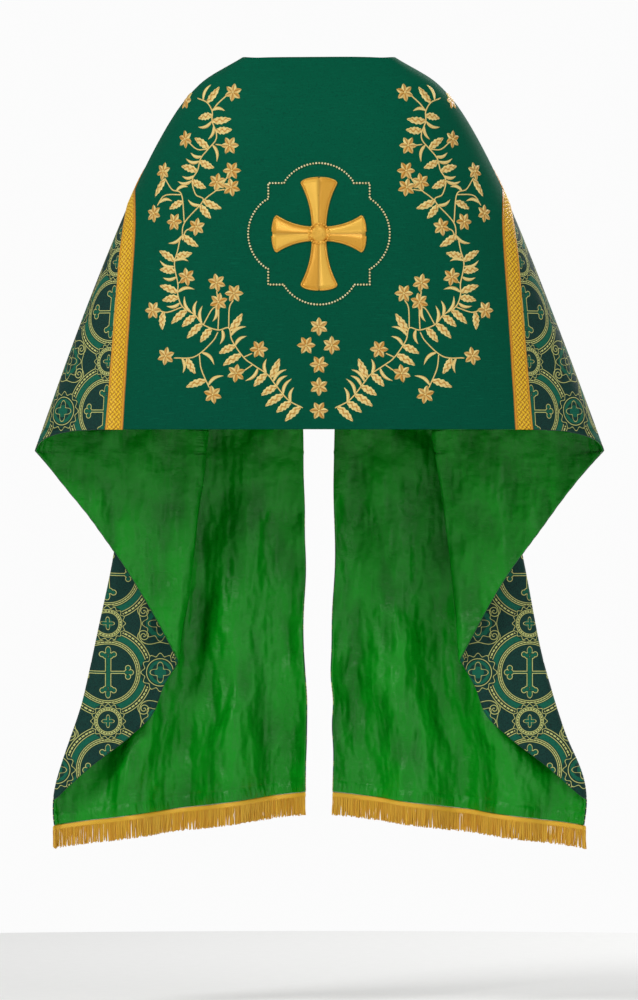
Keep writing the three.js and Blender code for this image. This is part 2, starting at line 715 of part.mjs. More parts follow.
function emblem() {
  const shape = new THREE.Shape();
  const arms = [CROSS.half, CROSS.up, CROSS.half, CROSS.up];
  arms.forEach((reach, i) => {
    const turn = (i * Math.PI) / 2;
    const place = (x, y) => [
      x * Math.cos(turn) - y * Math.sin(turn),
      FRAME_DEPTH + x * Math.sin(turn) + y * Math.cos(turn),
    ];
    const widest = CROSS.shoulder * reach;
    if (i === 0) shape.moveTo(...place(CROSS.waist, -CROSS.waist));
    else shape.lineTo(...place(CROSS.waist, -CROSS.waist));
    shape.quadraticCurveTo(...place(0.6 * reach, -CROSS.waist), ...place(widest, -CROSS.flare));
    shape.quadraticCurveTo(...place(reach, 0), ...place(widest, CROSS.flare));
    shape.quadraticCurveTo(...place(0.6 * reach, CROSS.waist), ...place(CROSS.waist, CROSS.waist));
  });
  shape.closePath();
  return motif(shape, EMBLEM);
}

function addEmbroidery() {
  const branch = garland();
  SIDES.forEach(({ name, sign }) => add(`garland_${name}`, layOnCloth(branch, sign), 'gold'));
  CENTRE_FLOWERS.map(placeOf).forEach(([x, y], i) => {
    const flower = motif(flowerShape(x, y, FLOWER_RADIUS), EMBROIDERY);
    add(`centre_flower_${i + 1}`, layOnCloth(flower, 1), 'gold');
  });
  add('bead_frame', layOnCloth(beadFrame(), 1), 'bead');
  add('emblem_cross', layOnCloth(emblem(), 1), 'gold');
}

// ---- clasp: x to the wearer's right, y out from the chest, z up ----

function box(x0, x1, y0, y1, z0, z1) {
  const geometry = new THREE.BoxGeometry(x1 - x0, y1 - y0, z1 - z0);
  return toManifold(geometry.translate((x0 + x1) / 2, (y0 + y1) / 2, (z0 + z1) / 2));
}

function upright(x, y, radius, z0, z1) {
  const geometry = new THREE.CylinderGeometry(radius, radius, z1 - z0, 16);
  return toManifold(geometry.rotateX(Math.PI / 2).translate(x, y, (z0 + z1) / 2));
}

// A plate with rounded corners between two distances from the middle.
function plate(x0, x1) {
  const r = PLATE.corner;
  const h = PLATE.height / 2;
  const shape = new THREE.Shape();
  shape.moveTo(x0 + r, -h);
  shape.lineTo(x1 - r, -h);
  shape.absarc(x1 - r, -h + r, r, -Math.PI / 2, 0);
  shape.lineTo(x1, h - r);
  shape.absarc(x1 - r, h - r, r, 0, Math.PI / 2);
  shape.lineTo(x0 + r, h);
  shape.absarc(x0 + r, h - r, r, Math.PI / 2, Math.PI);
  shape.lineTo(x0, -h + r);
  shape.absarc(x0 + r, -h + r, r, Math.PI, 1.5 * Math.PI);
  const solid = { depth: PLATE.thick, bevelEnabled: false, curveSegments: 3 };
  const geometry = new THREE.ExtrudeGeometry(shape, solid);
  return toManifold(geometry.rotateX(Math.PI / 2).translate(0, PLATE.thick, 0));
}

function addRivets(clasp) {
  const { radius, rise } = RIVET;
  const profile = [[0, 0], [radius, 0], [0.8 * radius, 0.6 * rise], [0, rise]];
  SIDES.forEach(({ name, sign }) => {
    [1, -1].forEach((up) => {
      const dome = new THREE.LatheGeometry(profile.map((p) => new THREE.Vector2(...p)), 10);
      const x = sign * (PLATE.inner + PLATE.width - RIVET.edge);
      const z = up * (PLATE.height / 2 - RIVET.edge);
      dome.translate(x, PLATE.thick + RIVET.gap, z);
      add(`clasp_rivet_${name}_${up > 0 ? 'upper' : 'lower'}`, toGeometry(toManifold(dome)), 'brass', clasp);
    });
  });
}

function addClasp() {
  const clasp = new THREE.Group();
  const hingeX = -PLATE.inner - HINGE.inset;
  const half = BAR.height / 2;
  const knuckleTop = PLATE.height / 2 - HINGE.margin;
  const bore = upright(hingeX, HINGE.rise, HINGE.pin + HINGE.play, -PLATE.height, PLATE.height);
  const leftPlate = plate(-PLATE.inner - PLATE.width, -PLATE.inner)
    .add(upright(hingeX, HINGE.rise, HINGE.knuckle, half + BAR.gap, knuckleTop))
    .add(upright(hingeX, HINGE.rise, HINGE.knuckle, -knuckleTop, -half - BAR.gap))
    .subtract(bore);
  add('clasp_plate_left', toGeometry(leftPlate), 'brass', clasp);

  const tipX = PLATE.inner + BAR.reach;
  const barY = HINGE.rise - BAR.thick / 2;
  const tongueHalf = half - 2;
  const bar = box(hingeX, tipX, barY, barY + BAR.thick, -half, half)
    .add(upright(hingeX, HINGE.rise, HINGE.barKnuckle, -half, half))
    .add(box(tipX - BAR.tongue, tipX, BAR.gap, barY + 0.5, -tongueHalf, tongueHalf))
    .subtract(bore);
  add('clasp_hook_bar', toGeometry(bar), 'brass', clasp);

  const slotHalf = tongueHalf + BAR.gap;
  const slotStart = tipX - BAR.tongue - 2 * BAR.gap;
  const slot = box(slotStart, tipX + 2 * BAR.gap, -1, PLATE.thick + 1, -slotHalf, slotHalf);
  const rightPlate = plate(PLATE.inner, PLATE.inner + PLATE.width).subtract(slot);
  add('clasp_plate_right', toGeometry(rightPlate), 'brass', clasp);

  const headStart = knuckleTop + HINGE.headGap;
  const headEnd = headStart + HINGE.head;
  const pin = upright(hingeX, HINGE.rise, HINGE.pin, -headEnd, headEnd)
    .add(upright(hingeX, HINGE.rise, HINGE.barKnuckle, headStart, headEnd))
    .add(upright(hingeX, HINGE.rise, HINGE.barKnuckle, -headEnd, -headStart));
  add('clasp_hinge_pin', toGeometry(pin), 'brass', clasp);
  addRivets(clasp);

  const reach = PLATE.height / 2;
  const above = drape(CLASP_DEPTH - reach, neckEnd(CLASP_DEPTH - reach));
  const below = drape(CLASP_DEPTH + reach, neckEnd(CLASP_DEPTH + reach));
  const lean = Math.atan2(below.y - above.y, above.z - below.z);
  clasp.rotation.x = lean;
  clasp.position.set(0, (above.y + below.y) / 2 + CLASP_STANDOFF, -CLASP_DEPTH);
  veil.add(clasp);
}

addCentre();
addSidePanels();
addGalloons();
addFringes();
addEmbroidery();
addClasp();

export default veil;
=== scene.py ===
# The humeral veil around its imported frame: cloth, braid, embroidery and fringe made as fine meshes with node
# materials. Metres, +Z up. The drape is the one of the CAD: horizontal sections that start at the middle of
# the back, turn round the arm, come back along the front with two folds and end at the neck edge. "depth" is
# the distance below the top edge, "run" the length along a section, negative on the wearer's left.
import math
import random

import bpy
import numpy as np
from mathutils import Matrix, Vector


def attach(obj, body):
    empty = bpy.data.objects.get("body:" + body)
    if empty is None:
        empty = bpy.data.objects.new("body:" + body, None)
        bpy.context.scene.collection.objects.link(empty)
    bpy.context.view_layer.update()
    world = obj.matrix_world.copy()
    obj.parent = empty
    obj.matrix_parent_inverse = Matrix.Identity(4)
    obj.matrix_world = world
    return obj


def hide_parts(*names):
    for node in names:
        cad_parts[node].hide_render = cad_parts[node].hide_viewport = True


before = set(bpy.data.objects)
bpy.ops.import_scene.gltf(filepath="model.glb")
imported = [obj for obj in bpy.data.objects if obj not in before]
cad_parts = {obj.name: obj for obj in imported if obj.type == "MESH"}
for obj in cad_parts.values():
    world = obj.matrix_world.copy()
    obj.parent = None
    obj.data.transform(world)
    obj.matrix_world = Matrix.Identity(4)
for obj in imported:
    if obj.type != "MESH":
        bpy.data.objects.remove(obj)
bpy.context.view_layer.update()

MM = 0.001
random.seed(7)

# ---- sizes of the drape, in millimetres, as in the CAD ----
BACK_DROP = 560
NECK_HALF = 118
ARM_SPREAD = 433
ARM_DEPTH = 592
END_DEPTH = 1167
PANEL_HALF = 292
GALLOON_WIDTH = 31
GALLOON_LEAN = 0.075
GALLOON_NECK_DEPTH = 64
FACE_TOP = 4.1
SEAM_GAP = 0.6
FOLD_START, FOLD_FULL = 130, 420
INNER_FOLD, OUTER_FOLD = 22, 26
FOLD_SPREAD, FOLD_ROUND = 22, 14
WAVE_HEIGHT, WAVES = 24, 2.5
END_RISE = 52

# ---- layers of the visible cloth, in millimetres above the back of the CAD lining ----
LINING = (1.1, 1.7)
CANVAS = (1.9, 2.2)
FACE = (2.4, 3.7)
ON_FACE = 3.7


def mix(a, b, t):
    return a + (b - a) * t


def ramp(t):
    k = np.clip(t, 0.0, 1.0)
    return k * k * (3 - 2 * k)


def through(knots):
    """A smooth curve through (depth, value) knots that never overshoots them."""
    xs = np.array([k[0] for k in knots], float)
    ys = np.array([k[1] for k in knots], float)
    steps = np.diff(ys) / np.diff(xs)
    slopes = np.empty_like(ys)
    slopes[0], slopes[-1] = steps[0], steps[-1]
    for i in range(1, len(xs) - 1):
        product = steps[i - 1] * steps[i]
        slopes[i] = 0 if product <= 0 else 2 * product / (steps[i - 1] + steps[i])

    def value(depth):
        d = np.clip(depth, xs[0], xs[-1])
        i = int(np.clip(np.searchsorted(xs, d) - 1, 0, len(xs) - 2))
        span = xs[i + 1] - xs[i]
        t = (d - xs[i]) / span
        s = 1 - t
        start = ys[i] * (1 + 2 * t) * s * s + slopes[i] * span * t * s * s
        return start + ys[i + 1] * (3 - 2 * t) * t * t - slopes[i + 1] * span * s * t * t

    return value


outline = through([
    (0, NECK_HALF),
    (38, mix(NECK_HALF, ARM_SPREAD, 0.2)),
    (92, mix(NECK_HALF, ARM_SPREAD, 0.34)),
    (243, mix(NECK_HALF, ARM_SPREAD, 0.58)),
    (ARM_DEPTH, ARM_SPREAD),
])
back_depth = through([(0, -92), (40, -120), (120, -146), (300, -160), (BACK_DROP, -162)])
arm_middle = through([(0, -58), (60, -34), (150, -8), (300, 0), (ARM_DEPTH, 4)])
arm_radius = through([(0, 33), (60, 37), (150, 40), (ARM_DEPTH, 38)])
neck_edge = through([(0, NECK_HALF - 8), (30, 98), (60, 72), (92, 44), (125, 30), (300, 26), (END_DEPTH, 22)])
chest = through([
    (0, -25), (40, 46), (75, 80), (105, 98), (150, 112), (300, 148), (600, 164), (END_DEPTH, 168),
])


def on_fall(share):
    """A depth on the hanging front, as a share of the way from the arm to the cloth's end."""
    return mix(ARM_DEPTH, END_DEPTH, share)


def spread(share):
    """A distance from the middle, as a share of the half width over the arms."""
    return share * ARM_SPREAD


INNER_FOLD_END, OUTER_FOLD_END = on_fall(0.56), on_fall(0.93)
inner_fold = through([(0, spread(0.231)), (INNER_FOLD_END, spread(0.4965)), (END_DEPTH, spread(0.566))])
outer_fold = through([
    (0, spread(0.323)),
    (150, spread(0.404)),
    (on_fall(0.275), spread(0.7206)),
    (on_fall(0.65), spread(0.827)),
    (on_fall(0.946), spread(0.942)),
    (END_DEPTH, spread(0.942)),
])
lower_on_arm = through([
    (ARM_DEPTH, ARM_SPREAD - FACE_TOP),
    (on_fall(0.195), spread(0.79)),
    (on_fall(0.358), spread(0.64)),
    (INNER_FOLD_END, spread(0.4965)),
])
lower_on_fold = through([
    (INNER_FOLD_END, spread(0.4965)),
    (on_fall(0.623), spread(0.55)),
    (on_fall(0.696), spread(0.587)),
    (on_fall(0.758), spread(0.667)),
    (on_fall(0.843), spread(0.813)),
    (OUTER_FOLD_END, spread(0.942)),
])
HEM_FROM = 0.785 * ARM_SPREAD


# Where the back bends and how far it stands out, and how round the turns over the arm are.
BEND_SHARE, BEND_ROUND, BEND_OUT = 0.6, 0.3, 8
TURN_ROUND, TURN_LEAST, TURN_ROOM = 0.9, 0.2, 60
# How far in from the arm the folds may lie, as shares of the way to the free edge.
REACH_INNER, REACH_CLOSED, REACH_OUTER = 0.3, 0.6, 0.85
# How far the layers of an open fall lie behind its free edge.
LAYER_FRONT, LAYER_BEHIND = 4, 2 * OUTER_FOLD - 16


def corners(depth):
    """Corner points of a section and the length over which each is rounded."""
    opened = float(ramp((depth - FOLD_START) / (FOLD_FULL - FOLD_START)))
    arm_x = outline(depth) - FACE_TOP
    arm = arm_radius(depth)
    back_y = back_depth(depth)
    end_x, end_y = neck_edge(depth), chest(depth)
    turn_y = arm_middle(depth) + arm

    def fold_at(x, behind):
        on_front = mix(turn_y, end_y, (arm_x - x) / max(arm_x - end_x, 1))
        return x, mix(on_front, end_y - behind, opened)

    middle = (inner_fold(depth) + outer_fold(depth)) / 2
    half = (outer_fold(depth) - inner_fold(depth)) / 2 * opened
    apart = FOLD_SPREAD * (1 - opened)
    room = min(1, (arm_x - end_x) / TURN_ROOM)
    in_x = min(middle + apart - half, mix(arm_x, end_x, REACH_INNER))
    out_most = min(middle - apart + half, mix(arm_x, end_x, REACH_CLOSED * (1 - opened)))
    out_x = max(out_most, mix(arm_x, end_x, REACH_OUTER))
    return [
        ((0, back_y), 0),
        ((BEND_SHARE * arm_x, back_y + BEND_OUT * opened), BEND_ROUND * arm_x),
        ((arm_x, turn_y - 2 * arm), TURN_ROUND * arm),
        ((arm_x, turn_y), TURN_ROUND * arm * mix(TURN_LEAST, 1, room)),
        (fold_at(in_x, LAYER_BEHIND + INNER_FOLD), FOLD_ROUND),
        (fold_at(in_x, LAYER_BEHIND), FOLD_ROUND),
        (fold_at(out_x, LAYER_FRONT + OUTER_FOLD), FOLD_ROUND),
        (fold_at(out_x, LAYER_FRONT), FOLD_ROUND),
        ((end_x, end_y), 0),
    ]


BEND_POINTS = 12
LAST_STRETCH = 70


def section(depth):
    """x, y and height of a section's points, their runs, and the runs of arm, both folds and end."""
    list_of = corners(depth)
    points, marks = [], []

    def along(a, b, distance):
        length = math.dist(a, b)
        t = min(distance / length, 0.5) if length > 0 else 0
        return np.array([mix(a[0], b[0], t), mix(a[1], b[1], t)])

    for i, (at, rounding) in enumerate(list_of):
        if i in (0, len(list_of) - 1):
            points.append(np.array(at, float))
        else:
            before = along(at, list_of[i - 1][0], rounding)
            after = along(at, list_of[i + 1][0], rounding)
            for t in np.linspace(0, 1, BEND_POINTS):
                points.append((1 - t) ** 2 * before + 2 * (1 - t) * t * np.array(at) + t * t * after)
        marks.append(len(points) - 1)
        if i == len(list_of) - 2:
            start = points[-1]
            for t in np.linspace(0, 1, LAST_STRETCH)[1:-1]:
                points.append(mix(start, np.array(list_of[-1][0]), t))
    xy = np.array(points)
    outer = marks[6]
    waves = float(ramp((depth - FOLD_FULL) / (END_DEPTH - FOLD_FULL)))
    rise = END_RISE * float(ramp((depth - ARM_DEPTH) / (END_DEPTH - ARM_DEPTH)))
    length = np.concatenate([[0], np.cumsum(np.hypot(*np.diff(xy[outer:], axis=0).T))])
    t = length / max(length[-1], 1e-6)
    xy[outer:, 1] += WAVE_HEIGHT * waves * ramp(3 * t) * np.sin(2 * np.pi * WAVES * t)
    height = np.full(len(xy), -float(depth))
    height[outer:] += rise * t
    run = np.concatenate([[0], np.cumsum(np.hypot(*np.diff(xy, axis=0).T))])
    return xy, height, run, (run[marks[2]], run[marks[4]], run[outer], run[-1])


# ---- the drape as a table: rows of even depth, columns of even run ----
STEP = 2.0
LAST_DEPTH = END_DEPTH + 40
DEPTHS = np.arange(0, LAST_DEPTH + STEP, STEP)
sections = [section(d) for d in DEPTHS]
ARM, INNER, OUTER, END = np.array([s[3] for s in sections]).T
RUNS = np.arange(0, END.max() + 24, STEP)


def table_row(part):
    xy, height, run, _ = part
    keep = np.concatenate([[True], np.diff(run) > 1e-6])
    xy, height, run = xy[keep], height[keep], run[keep]
    row = [np.interp(RUNS, run, column) for column in (xy[:, 0], xy[:, 1], height)]
    past = np.clip(RUNS - run[-1], 0, None)
    direction = (xy[-1] - xy[-2]) / math.dist(xy[-1], xy[-2])
    row[0] = row[0] + past * direction[0]
    row[1] = row[1] + past * direction[1]
    return np.stack(row, axis=-1)


POSITION = np.array([table_row(s) for s in sections])


def blurred(table, passes):
    """Softens the table a little along both directions, so that the bends have no kinks."""
    for _ in range(passes):
        table = table.copy()
        table[1:-1] = (table[:-2] + 2 * table[1:-1] + table[2:]) / 4
        table[:, 1:-1] = (table[:, :-2] + 2 * table[:, 1:-1] + table[:, 2:]) / 4
    return table


POSITION = blurred(POSITION, 3)
down, sideways = np.gradient(POSITION, axis=0), np.gradient(POSITION, axis=1)
NORMAL = np.cross(down, sideways)
NORMAL /= np.maximum(np.linalg.norm(NORMAL, axis=-1, keepdims=True), 1e-9)
NORMAL = blurred(NORMAL, 2)


def lookup(table, depth, run):
    r = np.clip(np.asarray(depth, float) / STEP, 0, len(DEPTHS) - 1.001)
    c = np.clip(np.abs(run) / STEP, 0, len(RUNS) - 1.001)
    i, j = r.astype(int), c.astype(int)
    a, b = (r - i)[..., None], (c - j)[..., None]
    upper = table[i, j] * (1 - b) + table[i, j + 1] * b
    lower = table[i + 1, j] * (1 - b) + table[i + 1, j + 1] * b
    return upper * (1 - a) + lower * a


def by_depth(values):
    return lambda depth: np.interp(depth, DEPTHS, values)


arm_run, outer_run, end_run = (by_depth(v) for v in (ARM, OUTER, END))


def ripple(depth, run):
    """Soft unevenness of the whole cloth, in millimetres: slight on the back, more on the hanging front."""
    front = ramp((np.abs(run) - arm_run(depth)) / 120)
    low = ramp(depth / 500)
    back = 0.9 * np.sin(run / 47 + depth / 160 + 0.6) + 0.6 * np.sin(run / 29 - depth / 210)
    hang = 3.2 * np.sin(np.abs(run) / 27 + depth / 330 + np.sign(run)) * low
    hang += 1.6 * np.sin(np.abs(run) / 13 - depth / 240 + 2 * np.sign(run)) * low
    slack = np.sin(np.abs(run) / 21 + depth / 34 + 1.5 * np.sin(depth / 90 + np.sign(run)))
    hang += 1.3 * slack * ramp((depth - 420) / 200)
    return mix(back * (0.3 + 0.7 * low), hang, front)


def on_cloth(depth, run, height):
    """Points at a height in millimetres above the lining's back, in metres."""
    depth, run = np.broadcast_arrays(np.asarray(depth, float), np.asarray(run, float))
    lift = np.asarray(height, float) + ripple(depth, run)
    place = lookup(POSITION, depth, run) + lookup(NORMAL, depth, run) * lift[..., None]
    place[..., 0] *= np.where(run < 0, -1, 1)
    return place * MM


# ---- lines on the cloth ----
def lengths_along(points):
    """How far each point of a line is from its start."""
    return np.concatenate([[0], np.cumsum(np.linalg.norm(np.diff(points, axis=0), axis=1))])


def at_lengths(line, length, wanted):
    """Points of a flat line at the wanted distances from its start."""
    return np.stack([np.interp(wanted, length, line[:, 0]), np.interp(wanted, length, line[:, 1])], axis=-1)


def run_where(row, x, low, high, rising):
    """The run at which one stretch of a row is at a distance x from the middle."""
    inside = (RUNS >= low) & (RUNS <= high)
    if inside.sum() < 2:
        return low
    xs, runs = POSITION[row][inside, 0], RUNS[inside]
    return np.interp(x, xs, runs) if rising else np.interp(-x, -xs, runs)


def line_beside(offset):
    """A line beside a galloon: straight down the back, then over the shoulder to the neck edge."""
    def on_back(depth):
        return PANEL_HALF + offset - GALLOON_LEAN * (BACK_DROP - depth)

    at_arm = next(d for d in np.arange(0, BACK_DROP, 0.5) if outline(d) - FACE_TOP >= on_back(d) and d > 60)
    at_neck = GALLOON_NECK_DEPTH + offset
    values = []
    for i, depth in enumerate(DEPTHS):
        if depth >= at_arm:
            values.append(run_where(i, on_back(depth), 0, ARM[i], True))
        elif depth <= at_neck:
            values.append(END[i])
        else:
            left = 1 - (depth - at_neck) / (at_arm - at_neck)
            values.append(mix(END[i], ARM[i], 1 - left * left))
    return by_depth(np.array(values)), at_neck


galloon_inner, _ = line_beside(0)
seam, seam_at_neck = line_beside(GALLOON_WIDTH / 2)


def free_edge(row):
    """The run of the side panel's lower edge below the seam with the centre panel."""
    depth = DEPTHS[row]
    if depth < ARM_DEPTH:
        drop = max(0, (depth - BACK_DROP) / (ARM_DEPTH - BACK_DROP))
        reach = ARM_SPREAD - FACE_TOP - HEM_FROM
        return run_where(row, HEM_FROM + reach * math.sqrt(1 - (1 - drop) ** 2), 0, ARM[row], True)
    if depth < INNER_FOLD_END:
        return run_where(row, lower_on_arm(depth), ARM[row], INNER[row], False)
    if depth < OUTER_FOLD_END:
        return max(INNER[row], run_where(row, lower_on_fold(depth), INNER[row], OUTER[row], True))
    return OUTER[row]


FREE = np.array([free_edge(i) for i in range(len(DEPTHS))])
free_line = by_depth(np.where(DEPTHS < ARM_DEPTH, FREE, np.maximum.accumulate(FREE)))


def lower_edge(depth):
    return np.where(depth < BACK_DROP, seam(depth) + SEAM_GAP / 2, free_line(np.maximum(depth, BACK_DROP)))

# ---- meshes ----
BODY = "veil"


def make_mesh(name, points, faces, material, numbers=None, body=BODY):
    """A mesh piece from points and faces; numbers are named vectors at its points that materials read."""
    mesh = bpy.data.meshes.new(name)
    mesh.from_pydata([tuple(p) for p in points], [], [tuple(f) for f in faces])
    for label, values in (numbers or {}).items():
        layer = mesh.attributes.new(label, "FLOAT_VECTOR", "POINT")
        layer.data.foreach_set("vector", np.asarray(values, np.float32).ravel())
    mesh.materials.append(material)
    mesh.polygons.foreach_set("use_smooth", [True] * len(mesh.polygons))
    mesh.update()
    piece = bpy.data.objects.new(name, mesh)
    bpy.context.scene.collection.objects.link(piece)
    if body:
        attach(piece, body)
    return piece


def stand_in(node):
    """The piece takes the place of a CAD node, which is hidden."""
    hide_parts(node)


class Parts:
    """Collects points and faces of many small shapes that make one piece."""

    def __init__(self):
        self.points, self.faces, self.marks = [], [], []
        self.count = 0

    def add(self, points, faces, marks):
        points = np.asarray(points, float).reshape(-1, 3)
        self.points.append(points)
        self.marks.append(np.broadcast_to(np.asarray(marks, float), points.shape))
        self.faces.extend([tuple(int(i) + self.count for i in face) for face in faces])
        self.count += len(points)

    def build(self, name, material, label="thread"):
        points = np.concatenate(self.points)
        return make_mesh(name, points, self.faces, material, {label: np.concatenate(self.marks)})


def grid_faces(rows, columns, first=0, flip=False):
    index = np.arange(rows * columns).reshape(rows, columns) + first
    quads = np.stack([index[:-1, :-1], index[1:, :-1], index[1:, 1:], index[:-1, 1:]], axis=-1).reshape(-1, 4)
    return quads[:, ::-1] if flip else quads


def closed_faces(rows, columns):
    """Faces of a sheet of two layers: the outer grid, then the inner one, and the edges between them."""
    size = rows * columns
    index = np.arange(size).reshape(rows, columns)
    ring = np.concatenate([index[:-1, 0], index[-1, :-1], index[:0:-1, -1], index[0, :0:-1]])
    following = np.roll(ring, -1)
    sides = np.stack([following, ring, ring + size, following + size], axis=-1)
    return np.concatenate([grid_faces(rows, columns), grid_faces(rows, columns, size, True), sides])


def two_sided(name, outside, inside, faces, material, label, numbers):
    """A closed mesh of two layers of points, which share their numbers."""
    points = np.concatenate([outside.reshape(-1, 3), inside.reshape(-1, 3)])
    numbers = numbers.reshape(-1, 3)
    return make_mesh(name, points, faces, material, {label: np.concatenate([numbers, numbers])})


def cloth_sheet(name, depths, first, last, columns, layer, material, lower=None):
    """A closed sheet between two lines, from the smaller signed run to the larger."""
    d = np.asarray(depths, float)[:, None] * np.ones(columns)
    t = np.linspace(0, 1, columns)
    start, end = first(d[:, 0]), last(d[:, 0])
    r = start[:, None] + (end - start)[:, None] * t
    low = layer[0] + (lower(d, r) if lower else 0)
    outside, inside = on_cloth(d, r, layer[1]), on_cloth(d, r, low)
    return two_sided(name, outside, inside, closed_faces(*d.shape), material, "cloth", cloth_numbers(d, r))


# The weave's figure is placed by these shifts, so that whole medallions face the back and the outer fold.
FRONT_START, SHIFT_DEPTH = 815.5, 52


def cloth_numbers(depth, run):
    """Cloth coordinates in millimetres: across, up, and how far below the top edge."""
    front = ramp((np.abs(run) - arm_run(depth) + 40) / 150)
    across = mix(np.abs(run), FRONT_START - lookup(POSITION, depth, run)[..., 0], front)
    return np.stack([across, -(depth + SHIFT_DEPTH * front), depth], axis=-1)


# ---- materials ----
class Field:
    """A number that varies over a surface, made of the math nodes of one material."""

    def __init__(self, tree, source):
        self.tree, self.source = tree, source

    def op(self, kind, *others, clamp=False):
        node = self.tree.nodes.new("ShaderNodeMath")
        node.operation = kind
        node.use_clamp = clamp
        for socket, value in zip(node.inputs, (self, *others)):
            if isinstance(value, Field):
                self.tree.links.new(value.source, socket)
            else:
                socket.default_value = value
        return Field(self.tree, node.outputs[0])

    def __add__(self, other):
        return self.op("ADD", other)

    def __sub__(self, other):
        return self.op("SUBTRACT", other)

    def __mul__(self, other):
        return self.op("MULTIPLY", other)

    def __rsub__(self, other):
        return self * -1 + other

    __radd__, __rmul__ = __add__, __mul__

    def size(self):
        return self.op("ABSOLUTE")

    def least(self, *others):
        result = self
        for other in others:
            result = result.op("MINIMUM", other)
        return result

    def most(self, other):
        return self.op("MAXIMUM", other)

    def sine(self):
        return self.op("SINE")

    def below(self, level, soft):
        """1 where the field is under the level, 0 over it, with an edge of the given softness."""
        return ((level - self) * (1 / soft) + 0.5).op("MULTIPLY", 1.0, clamp=True)


def distance(x, y):
    return (x * x + y * y).op("SQRT")


class Finish:
    """A material with a principled shader, and the nodes that colour and roughen it."""

    def __init__(self, name, roughness=0.6, metallic=0.0, specular=0.5):
        self.material = bpy.data.materials.new(name)
        self.material.use_nodes = True
        self.tree = self.material.node_tree
        self.nodes, self.links = self.tree.nodes, self.tree.links
        self.shader = self.nodes["Principled BSDF"]
        self.shader.inputs["Roughness"].default_value = roughness
        self.shader.inputs["Metallic"].default_value = metallic
        self.shader.inputs["Specular IOR Level"].default_value = specular

    def numbers(self, label):
        node = self.nodes.new("ShaderNodeAttribute")
        node.attribute_name = label
        split = self.nodes.new("ShaderNodeSeparateXYZ")
        self.links.new(node.outputs["Vector"], split.inputs[0])
        return [Field(self.tree, socket) for socket in split.outputs]

    def place(self):
        return self.nodes.new("ShaderNodeTexCoord").outputs["Object"]

    def noise(self, where, scale, detail=3.0, stretch=None):
        if stretch:
            mapping = self.nodes.new("ShaderNodeMapping")
            mapping.inputs["Scale"].default_value = stretch
            self.links.new(where, mapping.inputs["Vector"])
            where = mapping.outputs[0]
        node = self.nodes.new("ShaderNodeTexNoise")
        node.inputs["Scale"].default_value = scale
        node.inputs["Detail"].default_value = detail
        self.links.new(where, node.inputs["Vector"])
        return Field(self.tree, node.outputs[0])

    def blend(self, factor, a, b):
        """Colour a where the factor is 0 and b where it is 1."""
        node = self.nodes.new("ShaderNodeMix")
        node.data_type = "RGBA"
        self.links.new(factor.source, node.inputs[0])
        for socket, value in ((node.inputs[6], a), (node.inputs[7], b)):
            if isinstance(value, tuple):
                socket.default_value = (*value, 1)
            else:
                self.links.new(value, socket)
        return node.outputs[2]

    def colour(self, socket):
        self.links.new(socket, self.shader.inputs["Base Color"])

    def rough(self, field):
        self.links.new(field.source, self.shader.inputs["Roughness"])

    def bump(self, height, strength, reach):
        node = self.nodes.new("ShaderNodeBump")
        node.inputs["Strength"].default_value = strength
        node.inputs["Distance"].default_value = reach
        self.links.new(height.source, node.inputs["Height"])
        self.links.new(node.outputs[0], self.shader.inputs["Normal"])


def tone(red, green, blue):
    """A linear colour from 0 to 255 display values."""
    def linear(c):
        return ((c / 255 + 0.055) / 1.055) ** 2.4 if c > 10 else c / 255 / 12.92

    return linear(red), linear(green), linear(blue)


def weave(across, up, pitch):
    """Height of a plain weave: threads of both directions that pass over each other."""
    k = math.pi / pitch
    return (across * k).sine() * (up * k).sine()


def panel_fabric():
    f = Finish("panel_fabric", 0.72, specular=0.05)
    across, up, depth = f.numbers("cloth")
    place = f.place()
    patches = f.noise(place, 5, 3)
    speckle = f.noise(place, 420, 2)
    low = (depth * (1 / 620)).op("MULTIPLY", 1.0, clamp=True)
    base = f.blend(low, tone(0, 90, 64), tone(0, 80, 58))
    base = f.blend(patches * 0.5, base, tone(0, 80, 57))
    base = f.blend(speckle.below(0.40, 0.15) * 0.45, base, tone(0, 62, 46))
    slubs = f.noise(place, 60, 2, stretch=(1, 1, 14))
    f.colour(f.blend(slubs.below(0.36, 0.1) * 0.35, base, tone(8, 106, 78)))
    f.rough(speckle * 0.16 + 0.64)
    f.bump(weave(across, up, 0.9) * 0.5 + speckle * 0.6 + slubs * 0.3, 0.25, 0.0006)
    return f.material


# Half sizes of the figure's repeat, the medallion's rings, the coil of a scroll, and half the width of a
# gold line with the dark edge round it.
CELL_ACROSS, CELL_UP = 80, 75
RINGS = (43.6, 49, 60.5, 68.5)
SCROLL_PITCH = 4.6
LINE_HALF, INK = 0.5, 0.75


